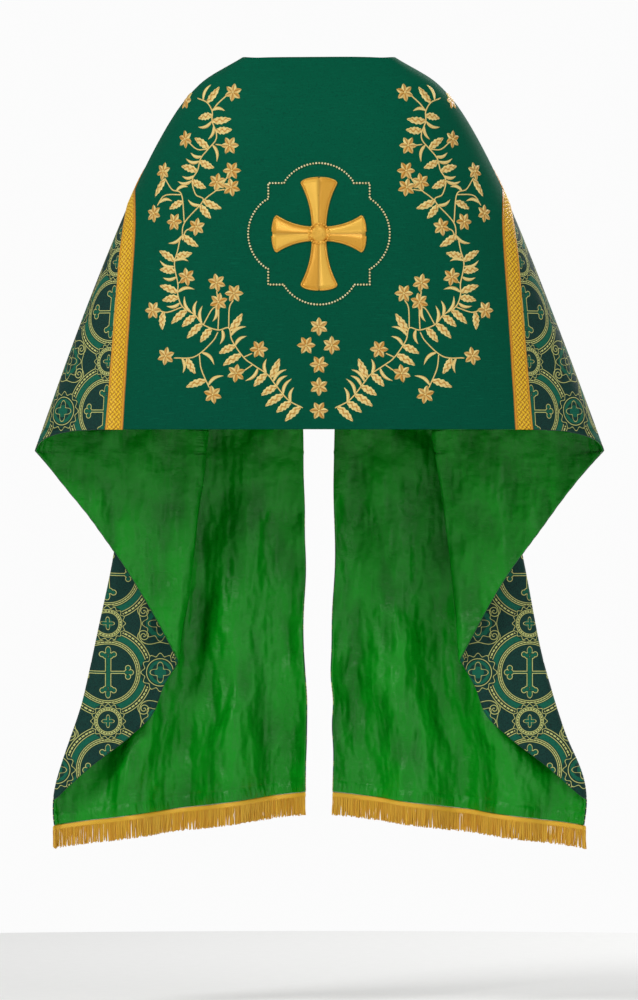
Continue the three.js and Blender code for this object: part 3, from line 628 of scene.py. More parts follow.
def brocade_fabric():
    """The figured cloth: medallions with a cross inside beaded rings, rosettes and scrolls between."""
    f = Finish("brocade_fabric", 0.58, specular=0.2)
    across, up, _ = f.numbers("cloth")
    u = (across - 332).op("PINGPONG", CELL_ACROSS)
    v = (up + 382.5).op("PINGPONG", CELL_UP)
    far_u, far_v = CELL_ACROSS - u, CELL_UP - v
    ring = distance(u, v)
    angle = v.op("ARCTAN2", u)

    def circle(x, y, radius):
        return distance(u - x, v - y) - radius

    def petals(r, turn, lobes, reach, depth_of):
        return (r - ((turn * lobes).op("COSINE") * depth_of + reach)).size()

    # the cross: an upright with flared ends and a thin bar with trefoil ends
    upright = (u - 4.2).most(v - 24)
    tips = circle(8.8, 27.6, 3.9).least(distance(u * 1.6, v - 33) - 6.4, circle(3.8, 25.5, 4.4))
    crossbar = (v - 1.7).most(u - 29)
    ends = circle(30.8, 6.6, 4.0).least(circle(35, 0, 4.2), circle(29.5, 0, 4.4))
    cross = upright.least(tips, crossbar, ends)
    # rosettes above and beside the medallions
    rose_r, rose_turn = distance(u, far_v), far_v.op("ARCTAN2", u)
    star_r, star_turn = distance(far_u, v), v.op("ARCTAN2", far_u)
    knot_r, knot_turn = distance(far_u, far_v), far_v.op("ARCTAN2", far_u)
    first, *others = [(ring - radius).size() for radius in RINGS]
    rings = first.least(*others)
    clear = (28 - rose_r).most(30.5 - star_r)
    rings = rings.most(clear)
    roses = (rose_r - 21).size().least((rose_r - 16.5).size(), petals(rose_r, rose_turn, 4, 6.5, 3.2))
    roses = roses.least(petals(rose_r, rose_turn, 16, 25, 1.8))
    stars = (star_r - 21).size().least(petals(star_r, star_turn, 4, 11.5, 4.2))
    stars = stars.least(petals(star_r, star_turn, 12, 27, 2.4))
    knots = petals(knot_r, knot_turn, 4, 13, 5).least(petals(knot_r, knot_turn, 8, 24, 3.4))
    knots = knots.least(petals(knot_r, knot_turn, 4, 34, -5), (knot_r - 5).size())
    outside = 70 - ring
    scroll_r = distance(u - 55, v - 56)
    scroll_turn = (v - 56).op("ARCTAN2", u - 55) * (1 / (2 * math.pi))
    scroll = (scroll_r * (1 / SCROLL_PITCH) - scroll_turn).op("FRACT")
    scroll = ((scroll - 0.5).size() * SCROLL_PITCH).most(scroll_r - 9.5)
    between = knots.least(scroll).most(outside).most(22.5 - star_r).most(22.5 - rose_r)
    lines = rings.least(cross.size(), roses, stars, between) - LINE_HALF
    # beads between the rings, and squares in the rosettes
    beads = (ring - 46.3).size().most(1.0 - (angle * 28).sine().size()).most(clear) - 0.75
    large = (ring - 64.5).size().most(1.9 - (angle * 32).sine().size() * 2).most(clear) - 1.1
    squares = (rose_r - 18.7).size().most(1.8 - (rose_turn * 14).sine().size() * 2) - 0.95
    light = lines.least(beads, large, squares)
    # bright bands and fields
    band = ((ring - 55).size() - 4.2).most(clear)
    heart = (cross + 1.2).least(rose_r - 7, star_r - 9, (knot_r - 18).size() - 3.5)
    teal = band.least(heart, (star_r - 16).size() - 2.5)
    place = f.place()
    speckle = f.noise(place, 700, 2)
    threads = (across * 5.2).sine() * (up * 4.1).sine()
    ground = f.blend(speckle.below(0.46, 0.12), tone(6, 58, 50), tone(0, 40, 36))
    filled = f.blend(speckle.below(0.40, 0.12), tone(0, 98, 74), tone(2, 68, 54))
    base = f.blend(teal.below(0, 0.6), ground, filled)
    base = f.blend(light.below(INK, 0.5), base, tone(8, 24, 22))
    thread = f.blend(speckle, tone(226, 228, 150), tone(172, 184, 96))
    f.colour(f.blend(light.below(0, 0.5), base, thread))
    f.rough(light.below(0, 0.5) * -0.12 + 0.62)
    f.bump(light.below(0, 0.8) * 0.8 + threads * 0.35 + speckle * 0.4, 0.3, 0.0006)
    return f.material


def lining_satin():
    f = Finish("lining_satin", 0.3, specular=0.3)
    across, up, depth = f.numbers("cloth")
    place = f.place()
    patches = f.noise(place, 14, 3)
    folds = f.noise(place, 26, 2, stretch=(1, 1, 0.35))
    slubs = f.noise(place, 130, 2, stretch=(1, 1, 9))
    speckle = f.noise(place, 900, 2)
    base = f.blend(patches, tone(0, 116, 10), tone(4, 162, 24))
    # painted shade: the satin is darkened to a deep green where the fold noise is low, standing in for shade in
    # its folds
    base = f.blend(folds.below(0.42, 0.2) * 0.4, base, tone(0, 58, 4))
    f.colour(f.blend(slubs.below(0.40, 0.1) * 0.3, base, tone(24, 150, 40)))
    f.rough(patches * 0.15 + 0.22)
    f.bump(folds * 2.2 + patches * 1.8 + slubs * 0.06 + speckle * 0.03, 1.0, 0.009)
    return f.material


def interlining_canvas():
    f = Finish("interlining_canvas", 0.9)
    across, up, _ = f.numbers("cloth")
    speckle = f.noise(f.place(), 500, 2)
    f.colour(f.blend(speckle, tone(204, 196, 172), tone(226, 219, 198)))
    f.bump(weave(across, up, 1.4) + speckle, 0.3, 0.0006)
    return f.material


def galloon_braid():
    """Gold braid: plaited middle and ribbed borders. Its numbers are across, along and height."""
    f = Finish("galloon_braid", 0.4, 0.06)
    across, along, height = f.numbers("braid")
    edge = (11.9 - across.size()).below(0, 0.5)
    rib = (along * 5.2).sine() * 0.5 + 0.5
    strand = ((along + across.size()) * 5.4).sine() * 0.5 + 0.5
    speckle = f.noise(f.place(), 900, 2)
    # painted light and shade: the raised strands of the plait are painted light gold and the gaps between them
    # painted dark
    raised = (height * 1.5 - 0.35).op("MULTIPLY", 1.0, clamp=True)
    middle = f.blend(raised, tone(160, 88, 0), tone(255, 206, 24))
    middle = f.blend(strand * 0.15, middle, tone(214, 146, 10))
    border = f.blend(rib, tone(240, 176, 20), tone(206, 134, 6))
    rim = (14.3 - across.size()).below(0, 0.5)
    border = f.blend(rim * 0.8, border, tone(176, 100, 4))
    colour = f.blend(edge, middle, border)
    # painted glints: small random spots of light yellow over the braid
    f.colour(f.blend(speckle.below(0.62, 0.08) * -0.25 + 0.25, colour, tone(255, 224, 90)))
    f.rough(speckle * 0.2 + 0.32)
    f.bump(strand * (1 - edge) + rib * edge * 0.9 + speckle * 0.3, 0.45, 0.0006)
    return f.material


def thread_finish(name, light, dark, roughness, metallic=0.0, pitch=1.0):
    """Embroidery thread. Its numbers are the distance across the stitches in millimetres, a tone from the light
    to the dark colour that is partly the thread's own colour and partly painted light and sheen, and a
    darkening that is mostly painted shade in grooves and between plies.
    """
    f = Finish(name, roughness, metallic)
    run, shade, groove = f.numbers("thread")
    speckle = f.noise(f.place(), 800, 2)
    stitch = (run * (2 * math.pi / pitch)).sine() * 0.5 + 0.5
    base = f.blend(shade, light, dark)
    # painted shade: grooves, creases and the gaps between plies are darkened to a deep brown; on the broad
    # leaves this also darkens the vein's own colour
    base = f.blend(groove, base, tone(120, 80, 8))
    base = f.blend(stitch * 0.15, base, dark)
    f.colour(f.blend(speckle * 0.15, base, dark))
    f.rough(speckle * 0.25 + roughness - 0.1)
    f.bump(stitch * 0.8 + speckle * 0.3, 0.5, 0.0005)
    return f.material


def clasp_brass():
    f = Finish("clasp_brass", 0.28, 1.0)
    place = f.place()
    cloud, grain = f.noise(place, 60, 4), f.noise(place, 900, 2, stretch=(1, 9, 1))
    geometry = f.nodes.new("ShaderNodeNewGeometry")
    worn = Field(f.tree, geometry.outputs["Pointiness"]).below(0.52, 0.03)
    base = f.blend(cloud, tone(196, 152, 66), tone(222, 184, 98))
    f.colour(f.blend(worn, tone(240, 214, 140), base))
    f.rough(cloud * 0.25 + 0.18)
    f.bump(grain * 0.6 + cloud * 0.4, 0.15, 0.0004)
    return f.material


PANEL = panel_fabric()
BROCADE = brocade_fabric()
SATIN = lining_satin()
CANVAS_CLOTH = interlining_canvas()
BRAID = galloon_braid()
CREAM_GOLD = thread_finish("embroidery_gold", tone(255, 238, 158), tone(206, 136, 0), 0.4, 0.05)
EMBLEM_GOLD = thread_finish("emblem_gold", tone(255, 206, 84), tone(214, 138, 14), 0.3, 0.35, 0.9)
FRINGE_GOLD = thread_finish("fringe_gold", tone(255, 208, 62), tone(214, 142, 14), 0.42, 0.15, 1.2)
BEAD = thread_finish("bead_thread", tone(246, 236, 190), tone(214, 190, 120), 0.3, 0.1, 2.0)
BRASS = clasp_brass()

# ---- the lengths of cloth ----
ROW = 5.0  # distance between the rows and between the columns of a cloth's points


def centre_edge(depth):
    return np.minimum(seam(depth) - np.where(depth > seam_at_neck, SEAM_GAP / 2, 0), end_run(depth))


def side_edge(depth):
    return np.minimum(lower_edge(depth), end_run(depth))


def columns_for(length):
    return int(length / ROW) + 2


BACK_ROWS = np.unique(np.concatenate([np.arange(0, BACK_DROP, ROW), [BACK_DROP - 1, BACK_DROP]]))
HEM_ROWS = np.array([BACK_DROP + d for d in (0.3, 1, 2, 3.5, 5.5, 8, 11, 15, 20, 25, 29)])
SIDE_ROWS = np.unique(np.concatenate([
    [seam_at_neck], np.arange(math.ceil(seam_at_neck), BACK_DROP, ROW), [BACK_DROP - 1, BACK_DROP], HEM_ROWS,
    np.arange(ARM_DEPTH, END_DEPTH - 24, ROW), np.arange(END_DEPTH - 24, END_DEPTH + 0.1, 2),
]))


def hem_puckers(depth, run):
    """The lining draws up in short puckers at the hem over the fringe and along the free edge."""
    above = END_DEPTH - depth
    wander = np.sin(run / 31) * 1.7 + np.sin(run / 12.3)
    gathered = np.exp(-((above - 9) / 7) ** 2) * (0.5 + 0.5 * np.sin(run / 1.35 + wander))
    seam_line = np.exp(-((above - 18.5) / 2.2) ** 2)
    inside = np.maximum(np.abs(run) - side_edge(depth), 0)
    on_front = ramp((depth - ARM_DEPTH) / 60)
    edge = np.exp(-inside / 13) * (0.5 + 0.5 * np.sin(depth / 2.1 + np.sin(depth / 37) * 2)) * on_front
    creases = 0.8 * np.sin(run / 15 + depth / 23 + 2 * np.sin(depth / 71)) * ramp((depth - 650) / 150)
    return -(2.1 * gathered - 0.9 * seam_line + 3.0 * edge + 0.5 + 0.5 * creases)


def add_centre():
    wide = columns_for(960)
    for name, layer, finish, node in (
        ("centre_panel_cloth", FACE, PANEL, "centre_panel"),
        ("lining_back_cloth", LINING, SATIN, "lining_back"),
    ):
        cloth = cloth_sheet(name, BACK_ROWS, lambda d: -centre_edge(d), centre_edge, wide, layer, finish)
        stand_in(node)
    rows = np.arange(GALLOON_WIDTH, BACK_DROP - 1, 2 * ROW)
    half = lambda d: 0.5 * arm_run(d)
    canvas = cloth_sheet("canvas_back_cloth", rows, lambda d: -half(d), half, wide // 3, CANVAS, CANVAS_CLOTH)
    stand_in("interlining_back")


def add_sides():
    for name, sign in (("left", -1), ("right", 1)):
        first = (lambda d: -end_run(d)) if sign < 0 else side_edge
        last = (lambda d: -side_edge(d)) if sign < 0 else end_run
        for piece, layer, finish, slot, lower in (
            ("brocade", FACE, BROCADE, "brocade_fabric", None),
            ("lining", LINING, SATIN, "lining_satin", hem_puckers),
        ):
            cloth = cloth_sheet(
                f"{piece}_{name}_cloth", SIDE_ROWS, first, last, columns_for(780), layer, finish, lower=lower
            )
            stand_in(f"{piece}_{name}")


# ---- braid on the seams ----
BRAID_STEP, BRAID_COLUMNS = 0.8, 41


def across_steps(depth, run, level):
    """Steps in depth and run that lead one millimetre across a line drawn on the cloth."""
    here = on_cloth(depth, run, level) / MM
    down = (on_cloth(depth + 1, run, level) - on_cloth(depth - 1, run, level)) / (2 * MM)
    side = (on_cloth(depth, run + 1, level) - on_cloth(depth, run - 1, level)) / (2 * MM)
    along = np.gradient(here, axis=0)
    across = np.cross(np.cross(down, side), along)
    across /= np.linalg.norm(across, axis=-1, keepdims=True)
    dd, ds, ss = (down * down).sum(-1), (down * side).sum(-1), (side * side).sum(-1)
    da, sa = (down * across).sum(-1), (side * across).sum(-1)
    det = dd * ss - ds * ds
    return (da * ss - sa * ds) / det, (sa * dd - da * ds) / det


def braid_relief(across, along):
    """0 to 1: two sets of slanting strands that pass over and under each other."""
    a, b = (along + across) / 7.6, (along - across) / 7.6
    over = (np.floor(a) + np.floor(b)) % 2
    strand = np.where(over > 0.5, np.sin(np.pi * (a % 1)), np.sin(np.pi * (b % 1)))
    return np.abs(strand) ** 0.8


def add_braids():
    depths = np.arange(seam_at_neck, BACK_DROP + 0.01, 1.0)
    for name, sign in (("left", -1), ("right", 1)):
        runs = sign * seam(depths)
        here = on_cloth(depths, runs, ON_FACE) / MM
        length = lengths_along(here)
        along = np.arange(-GALLOON_WIDTH / 2, length[-1] + GALLOON_WIDTH / 3, BRAID_STEP)
        d, r = np.interp(along, length, depths), np.interp(along, length, runs)
        step_d, step_r = across_steps(np.interp(length, length, depths), runs, ON_FACE)
        # the line is carried on straight past the neck edge and the hem, and the braid is trimmed there
        start, finish = depths[1] - depths[0], runs[1] - runs[0]
        back = np.minimum(along, 0) / max(length[1], 1e-6)
        d, r = d + back * start, r + back * finish
        d = d + np.maximum(along - length[-1], 0)
        step_d = np.interp(along, length, step_d)[:, None]
        step_r = np.interp(along, length, step_r)[:, None]
        width = np.linspace(-GALLOON_WIDTH / 2, GALLOON_WIDTH / 2, BRAID_COLUMNS)
        dd = np.clip(d[:, None] + step_d * width, 0, BACK_DROP + 0.6)
        rr = r[:, None] + step_r * width
        rr = sign * np.minimum(np.abs(rr), end_run(dd) + 0.5)
        v = along[:, None] * np.ones(len(width))
        u = width * np.ones(len(along))[:, None]
        plait = braid_relief(u, v) * (np.abs(u) < 11.6)
        border = (np.abs(u) >= 11.6) * (0.45 + 0.45 * np.sin(np.pi * (np.abs(u) - 11.6) / 3.9))
        level = ON_FACE + 0.3 + 1.35 * plait + border
        level = np.where(np.abs(u) > 15.4, ON_FACE - 0.1, level)
        outside, inside = on_cloth(dd, rr, level), on_cloth(dd, rr, ON_FACE + 0.1)
        marks = np.stack([u, v, plait + border * 0.6], axis=-1)
        faces = closed_faces(*u.shape)
        braid = two_sided(f"galloon_{name}_braid", outside, inside, faces, BRAID, "braid", marks)
        stand_in(f"galloon_{name}")


# ---- embroidery ----
def to_run(x, depth):
    """The run on the back at a distance from the middle plane, at a depth."""
    row = int(depth / STEP)
    return math.copysign(run_where(row, abs(x), 0, ARM[row], True), x)


def smooth_line(points, spacing):
    """A rounded line through points, with even spacing."""
    p = np.array(points, float)
    p = np.concatenate([[2 * p[0] - p[1]], p, [2 * p[-1] - p[-2]]])
    pieces = []
    for a, b, c, d in zip(p, p[1:], p[2:], p[3:]):
        t = np.linspace(0, 1, 12)[:-1, None]
        bend, twist = 2 * a - 5 * b + 4 * c - d, 3 * b - a - 3 * c + d
        pieces.append(0.5 * (2 * b + (c - a) * t + bend * t**2 + twist * t**3))
    line = np.concatenate([*pieces, p[-2:-1]])
    length = lengths_along(line)
    return at_lengths(line, length, np.linspace(0, length[-1], max(3, int(length[-1] / spacing) + 1)))


def stitched(parts, line, half_widths, rise, marks, sign, across=7, groove=0.0):
    """A raised stitched shape on a line of (run, depth), with its half widths and marks by (along, across)."""
    tangent = np.gradient(line, axis=0)
    tangent /= np.maximum(np.linalg.norm(tangent, axis=1, keepdims=True), 1e-9)
    t = np.linspace(-1, 1, across)
    side = np.stack([-tangent[:, 1], tangent[:, 0]], axis=-1)
    place = line[:, None] + side[:, None] * (half_widths[:, None] * t)[..., None]
    full = (1 - t**2) ** 0.55 * (1 - groove * np.exp(-((t / 0.3) ** 2)))
    thick = rise * np.clip(half_widths / max(half_widths.max(), 1e-6), 0, 1) ** 0.5
    level = ON_FACE - 0.15 + thick[:, None] * full
    points = on_cloth(place[..., 1], sign * place[..., 0], level)
    s = np.linspace(0, 1, len(line))[:, None] * np.ones(across)
    numbers = marks(s, t * np.ones((len(line), 1))).reshape(-1, 3)
    parts.add(points, grid_faces(len(line), across, flip=sign < 0), numbers)


def petal(parts, centre, angle, length, half, sign, light):
    s = np.linspace(0, 1, 8)
    reach = 0.9 + s * length
    line = np.stack([centre[0] + reach * np.cos(angle), centre[1] + reach * np.sin(angle)], axis=-1)
    widths = half * np.sin(np.pi * s**0.85) ** 0.75 + 0.05

    def marks(along, across):
        # painted sheen: one half of each petal is darker than the other, each petal is lighter or darker at
        # random by light, and the petal is lighter towards its edges
        shade = np.clip(0.72 + light + 0.22 * np.sign(across) - 0.5 * np.abs(across), 0, 1)
        # painted shade in the petal's middle groove
        vein = 0.75 * np.exp(-((across / 0.2) ** 2))
        return np.stack([length * along + 2 * np.abs(across), shade, vein], axis=-1)

    stitched(parts, line, widths, 1.9, marks, sign, groove=0.35)


def flower(parts, x, depth, sign, turn=0.0, radius=14):
    """Six pointed petals and a small knot."""
    centre = (to_run(x, depth), depth)
    for i in range(6):
        # each petal gets a random painted sheen
        petal(parts, centre, turn + i * math.pi / 3, radius - 0.9, 4.0, sign, random.uniform(-0.12, 0.2))
    s = np.linspace(0, 1, 5)
    line = np.stack([centre[0] + (s - 0.5) * 3.2, centre[1] + 0 * s], axis=-1)
    stitched(parts, line, 1.6 * np.sin(np.pi * s) ** 0.5 + 0.05, 2.6,
             lambda a, c: np.stack([3 * a, 0.1 + 0 * a, 0 * a], axis=-1), sign)


def broad_leaf(parts, base, angle, sign, length=28, half=5.4, bend=0.25):
    s = np.linspace(0, 1, 27)
    turned = angle + bend * (s - 0.3)
    steps = np.stack([np.cos(turned), np.sin(turned)], axis=-1) * length / (len(s) - 1)
    line = np.array(base) + np.cumsum(steps, axis=0) - steps[0]
    toothed = 1 + 0.12 * np.sin(2 * np.pi * 4.5 * s)
    widths = half * np.sin(np.pi * np.clip(s, 0, 1) ** 0.8) ** 0.7 * toothed + 0.12

    def marks(along, across):
        wave = 0.3 * np.sin(2 * np.pi * 3 * along)
        vein = np.exp(-(((across - wave) / 0.24) ** 2))
        inner = np.exp(-(((np.abs(across) - 0.5) / 0.2) ** 2))
        shade = np.clip(0.9 * vein + 0.35 * inner, 0, 1)
        return np.stack([length * along + 3 * np.abs(across), shade, 0.35 * vein], axis=-1)

    stitched(parts, line, widths, 1.7, marks, sign, across=11, groove=0.3)


def slim_leaf(parts, base, angle, sign, length=26, half=2.5, bend=0.5):
    s = np.linspace(0, 1, 14)
    turned = angle + bend * np.cos(np.pi * s)
    steps = np.stack([np.cos(turned), np.sin(turned)], axis=-1) * length / (len(s) - 1)
    line = np.array(base) + np.cumsum(steps, axis=0) - steps[0]
    widths = half * np.sin(np.pi * s**0.75) ** 0.8 + 0.1

    def marks(along, across):
        # painted sheen: one half of the leaf is darker than the other
        shade = 0.12 + 0.3 * (across > 0.1)
        return np.stack([length * along + 1.5 * across, shade, 0 * along], axis=-1)

    stitched(parts, line, widths, 1.5, marks, sign)


def stem(parts, line, half, sign):
    widths = np.full(len(line), half)
    widths[0] = widths[-1] = half * 0.5

    def marks(along, across):
        return np.stack([len(line) * 2 * along + across, 0.18 + 0.2 * np.abs(across), 0 * along], axis=-1)

    stitched(parts, line, widths, 1.1, marks, sign, across=5)


# Stems of one garland, as distances from the middle and depths, from the shoulder down and from the hem up.
UPPER_STEMS = [
    [(204, 276), (201, 250), (173, 217), (184, 207), (189, 186), (181, 171), (176, 153), (165, 139), (154, 126),
     (153, 114), (159, 97), (159, 82), (167, 68), (181, 61)],
    [(159, 82), (151, 71), (137, 58)],
    [(165, 139), (181, 139), (194, 128)],
    [(154, 132), (148, 133), (138, 134)],
    [(201, 250), (205, 207), (219, 199), (230, 181)],
    [(205, 207), (230, 208), (241, 223)],
    [(173, 217), (165, 210), (154, 202), (143, 191), (134, 177)],
    [(154, 202), (140, 200)],
    [(204, 276), (199, 262), (190, 258)],
]
LOWER_STEMS = [
    [(208, 276), (211, 291), (216, 312), (211, 341), (211, 358), (204, 376), (186, 388), (173, 403), (151, 411),
     (135, 408), (130, 427), (113, 452), (99, 463), (77, 478), (66, 492), (46, 516), (24, 528)],
    [(135, 408), (134, 378), (128, 366)],
    [(151, 414), (160, 429), (186, 451), (217, 453)],
    [(179, 447), (176, 470), (164, 498)],
    [(204, 376), (226, 384), (238, 382)],
    [(173, 403), (160, 380), (152, 376)],
    [(211, 341), (204, 336)],
    [(113, 452), (100, 446)],
    [(99, 463), (112, 472)],
    [(151, 411), (150, 380), (153, 352)],
]
FLOWERS = [
    (197, 64), (128, 54), (199, 123), (133, 134), (232, 171), (246, 235), (130, 172), (152, 189), (131, 197),
    (216, 248), (183, 256), (153, 340), (127, 356), (150, 369), (198, 331), (248, 381), (229, 450), (159, 508),
    (90, 440), (124, 476),
]
CENTRE_FLOWERS = [(0, 532), (0, 496), (0, 463), (0, 406), (-19, 434), (19, 434)]


def scatter_leaves(parts, lines, sign):
    """Leaves on alternating sides of the stems, broad and slim in turn, wherever there is room for one."""
    taken = [((to_run(x, d), d), 11.5) for x, d in FLOWERS]
    taken += [(tuple(p), 1.6) for line in lines for p in line[::2]]
    kinds = ((broad_leaf, 32, 7.4), (slim_leaf, 29, 5.0), (broad_leaf, 27, 7.0), (slim_leaf, 24, 4.2))
    count = 0
    for line in lines:
        tangent = np.gradient(line, axis=0)
        for i in range(4, len(line) - 1, 4):
            direction = math.atan2(tangent[i, 1], tangent[i, 0])
            for side in ((1, -1) if count % 2 == 0 else (-1, 1)):
                maker, length, room = kinds[count % len(kinds)]
                for lean in (0.85, 0.6, 1.15, 0.4, 1.4):
                    angle = direction + math.pi + side * lean
                    way = np.array([math.cos(angle), math.sin(angle)])
                    spots = [line[i] + k * length * way for k in (0.45, 0.75, 1)]
                    inside = all(38 < s[0] < galloon_inner(s[1]) - 9 and 30 < s[1] < 548 for s in spots)
                    free = all(math.dist(s, at) > room + near for s in spots for at, near in taken)
                    if inside and free:
                        maker(parts, line[i], angle, sign, length=length)
                        taken += [(tuple(s), room - 2.4) for s in spots]
                        count += 1
                        break


def add_garlands():
    for name, sign in (("left", -1), ("right", 1)):
        random.seed(11)
        parts = Parts()
        lines = []
        for points in UPPER_STEMS + LOWER_STEMS:
            lines.append(smooth_line([(to_run(x, d), d) for x, d in points], 2.0))
        for line in lines:
            stem(parts, line, 1.05, sign)
        scatter_leaves(parts, lines, sign)
        for i, (x, depth) in enumerate(FLOWERS):
            flower(parts, x, depth, sign, turn=0.35 * i)
        garland = parts.build(f"garland_{name}_stitches", CREAM_GOLD)
        stand_in(f"garland_{name}")
    for i, (x, depth) in enumerate(CENTRE_FLOWERS):
        parts = Parts()
        flower(parts, x, depth, 1, turn=math.pi / 6 * (i % 2))
        piece = parts.build(f"centre_flower_{i + 1}_stitches", CREAM_GOLD)
        stand_in(f"centre_flower_{i + 1}")


# ---- bead frame and emblem ----
FRAME_DEPTH, FRAME_HALF, FRAME_LOBE, FRAME_CORNER, CORNER_STEP = 267, 106, 62, 76, 24


def quarter_turned(x, y, quarter):
    """Run and depth of a place given from the frame's middle, after some quarter turns."""
    cos, sin = math.cos(quarter * math.pi / 2), math.sin(quarter * math.pi / 2)
    return x * cos - y * sin, FRAME_DEPTH + x * sin + y * cos


def quatrefoil():
    """The frame's line: four round lobes joined by stepped square corners, as (x, depth) points."""
    points = []
    centre, reach, corner = FRAME_HALF - FRAME_LOBE, FRAME_LOBE, FRAME_CORNER
    opening = math.asin((corner - CORNER_STEP) / reach)
    for quarter in range(4):
        angles = np.linspace(-opening, opening, 25)
        own = [(centre + reach * math.cos(a), reach * math.sin(a)) for a in angles]
        own += [(corner, corner - CORNER_STEP), (corner, corner), (corner - CORNER_STEP, corner)]
        for x, y in own:
            points.append(quarter_turned(x, y, quarter))
    return np.array([*points, points[0]])


def evenly(line, spacing):
    """Points all along a closed line, at one spacing close to the one asked for."""
    length = lengths_along(line)
    count = int(round(length[-1] / spacing))
    return at_lengths(line, length, np.arange(count) * length[-1] / count)


def ball(radius, rings=5, sides=8):
    points, faces = [(0, 0, radius)], []
    for i in range(1, rings):
        for k in range(sides):
            a, b = math.pi * i / rings, 2 * math.pi * k / sides
            wide = radius * math.sin(a)
            points.append((wide * math.cos(b), wide * math.sin(b), radius * math.cos(a)))
    points.append((0, 0, -radius))
    for k in range(sides):
        after = (k + 1) % sides
        faces.append((0, 1 + k, 1 + after))
        for i in range(rings - 2):
            a, b = 1 + i * sides, 1 + (i + 1) * sides
            faces.append((a + k, b + k, b + after, a + after))
        last = 1 + (rings - 2) * sides
        faces.append((last + k, len(points) - 1, last + after))
    return np.array(points), faces


def add_beads(parts, places, radius, level):
    shape, faces = ball(radius)
    for x, depth in places:
        middle = on_cloth(depth, x, level)
        grown = shape * random.uniform(0.92, 1.06) * MM
        parts.add(middle + grown, faces, (x * 3.1 % 7, random.uniform(0, 0.6), 0))


def add_frame():
    parts = Parts()
    add_beads(parts, evenly(quatrefoil(), 4.5), 1.6, ON_FACE + 1.2)
    beads = parts.build("bead_frame_beads", BEAD)
    stand_in("bead_frame")


CROSS_HALF, CROSS_UP, CROSS_WAIST, CROSS_FLARE = 70, 84, 9, 26
PADDING_HEIGHT, BOSS_RADIUS, BOSS_HEIGHT = 4.6, 14, 6.6


def arm_width(s):
    body = CROSS_WAIST + (CROSS_FLARE - CROSS_WAIST) * np.clip(s / 0.9, 0, 1) ** 2.4
    tip = np.sqrt(np.clip(1 - np.clip((s - 0.9) / 0.1, 0, 1) ** 2, 0, 1))
    return body * np.maximum(tip, 0.02)


def cord_on_cloth(parts, line, radius, level):
    """A twisted cord laid along a line of (run, depth) points."""
    centre = on_cloth(line[:, 1], line[:, 0], level)
    along = np.gradient(centre, axis=0)
    along /= np.linalg.norm(along, axis=1, keepdims=True)
    side = np.cross(along, [0, 1, 0])
    side /= np.linalg.norm(side, axis=1, keepdims=True)
    up = np.cross(side, along)
    sides = 8
    travelled = lengths_along(centre) / MM
    angle = np.linspace(0, 2 * np.pi, sides + 1)[None, :]
    ply = 1 + 0.22 * np.cos(2 * (angle - travelled[:, None] * 1.5))
    ring = side[:, None] * np.cos(angle)[..., None] + up[:, None] * np.sin(angle)[..., None]
    points = centre[:, None] + ring * (radius * MM * ply)[..., None]
    # painted shade between the plies of the cord
    marks = np.stack([travelled[:, None] * 1.2 + angle, 0.3 + 0 * ply, np.clip(1 - ply, 0, 1) * 2.5], axis=-1)
    parts.add(points, grid_faces(len(line), sides + 1, flip=True), marks.reshape(-1, 3))


def add_emblem():
    parts = Parts()
    s = np.concatenate([np.linspace(0, 0.9, 46), 0.9 + 0.1 * np.sin(np.linspace(0, np.pi / 2, 14))[1:]])
    t = np.linspace(-1, 1, 25)
    for quarter, reach in enumerate((CROSS_HALF, CROSS_UP, CROSS_HALF, CROSS_UP)):
        widths = arm_width(s)[:, None]
        x, y = (s * reach)[:, None] + 0 * t, widths * t
        run, depth = quarter_turned(x, y, quarter)
        close = np.minimum(1, (1 - s)[:, None] * 12)
        full = (1 - t**2) ** 0.45 * np.sqrt(close)
        ridge = 0.9 * np.exp(-((t / 0.12) ** 2)) * (s[:, None] > 0.15)
        level = ON_FACE - 0.1 + PADDING_HEIGHT * full - ridge * full
        # painted sheen: one half of each arm is darker than the other; the crease along the middle is painted
        # shade
        shade, crease = 0.15 + 0.4 * (t > 0) + 0 * x, 0.5 * np.exp(-((t / 0.1) ** 2)) + 0 * x
        marks = np.stack([x + 0.35 * np.abs(y), shade, crease], axis=-1)
        parts.add(on_cloth(depth, run, level), grid_faces(len(s), len(t)), marks.reshape(-1, 3))
        for side in (1, -1):
            keep = s > CROSS_WAIST / reach
            edge_x, edge_y = s[keep] * reach, side * (arm_width(s[keep]) + 0.4)
            line = np.stack(quarter_turned(edge_x, edge_y, quarter), axis=-1)
            cord_on_cloth(parts, smooth_line(line[::2], 0.9), 1.25, ON_FACE + 1.0)
    boss, turns = np.linspace(0.02, 1, 9), np.linspace(0, 2 * np.pi, 37)
    run = BOSS_RADIUS * boss[:, None] * np.cos(turns)
    depth = FRAME_DEPTH + BOSS_RADIUS * boss[:, None] * np.sin(turns)
    level = ON_FACE + BOSS_HEIGHT * (1 - boss[:, None] ** 2.6) ** 0.5 + 0 * turns
    marks = np.stack([turns * BOSS_RADIUS + 0 * run, 0.3 + 0 * run, 0 * run], axis=-1)
    parts.add(on_cloth(depth, run, level), grid_faces(9, 37), marks.reshape(-1, 3))
    angles = np.linspace(0, 2 * np.pi, 25)[:-1]
    round_boss = BOSS_RADIUS + 1
    places = np.stack([round_boss * np.cos(angles), FRAME_DEPTH + round_boss * np.sin(angles)], axis=-1)
    add_beads(parts, places, 1.7, ON_FACE + 4.2)
    emblem = parts.build("emblem_cross_padding", EMBLEM_GOLD)
    stand_in("emblem_cross")


# ---- fringe ----
FRINGE_HEADING, FRINGE_SKIRT, EDGE_GAP = 8.5, 27, 1.2
FRINGE_TOP = END_DEPTH + 0.2
SKIRT_TOP = FRINGE_TOP + FRINGE_HEADING
FRINGE_LEVEL, HEADING_STEPS = 2.0, 620


def rope(across, along):
    slant = np.abs(np.sin(np.pi * (along + 1.3 * across) / 4.4))
    return 1.5 * slant**0.7 * np.sqrt(np.clip(1 - (2 * across / FRINGE_HEADING - 1) ** 2, 0, 1)) + 0.2


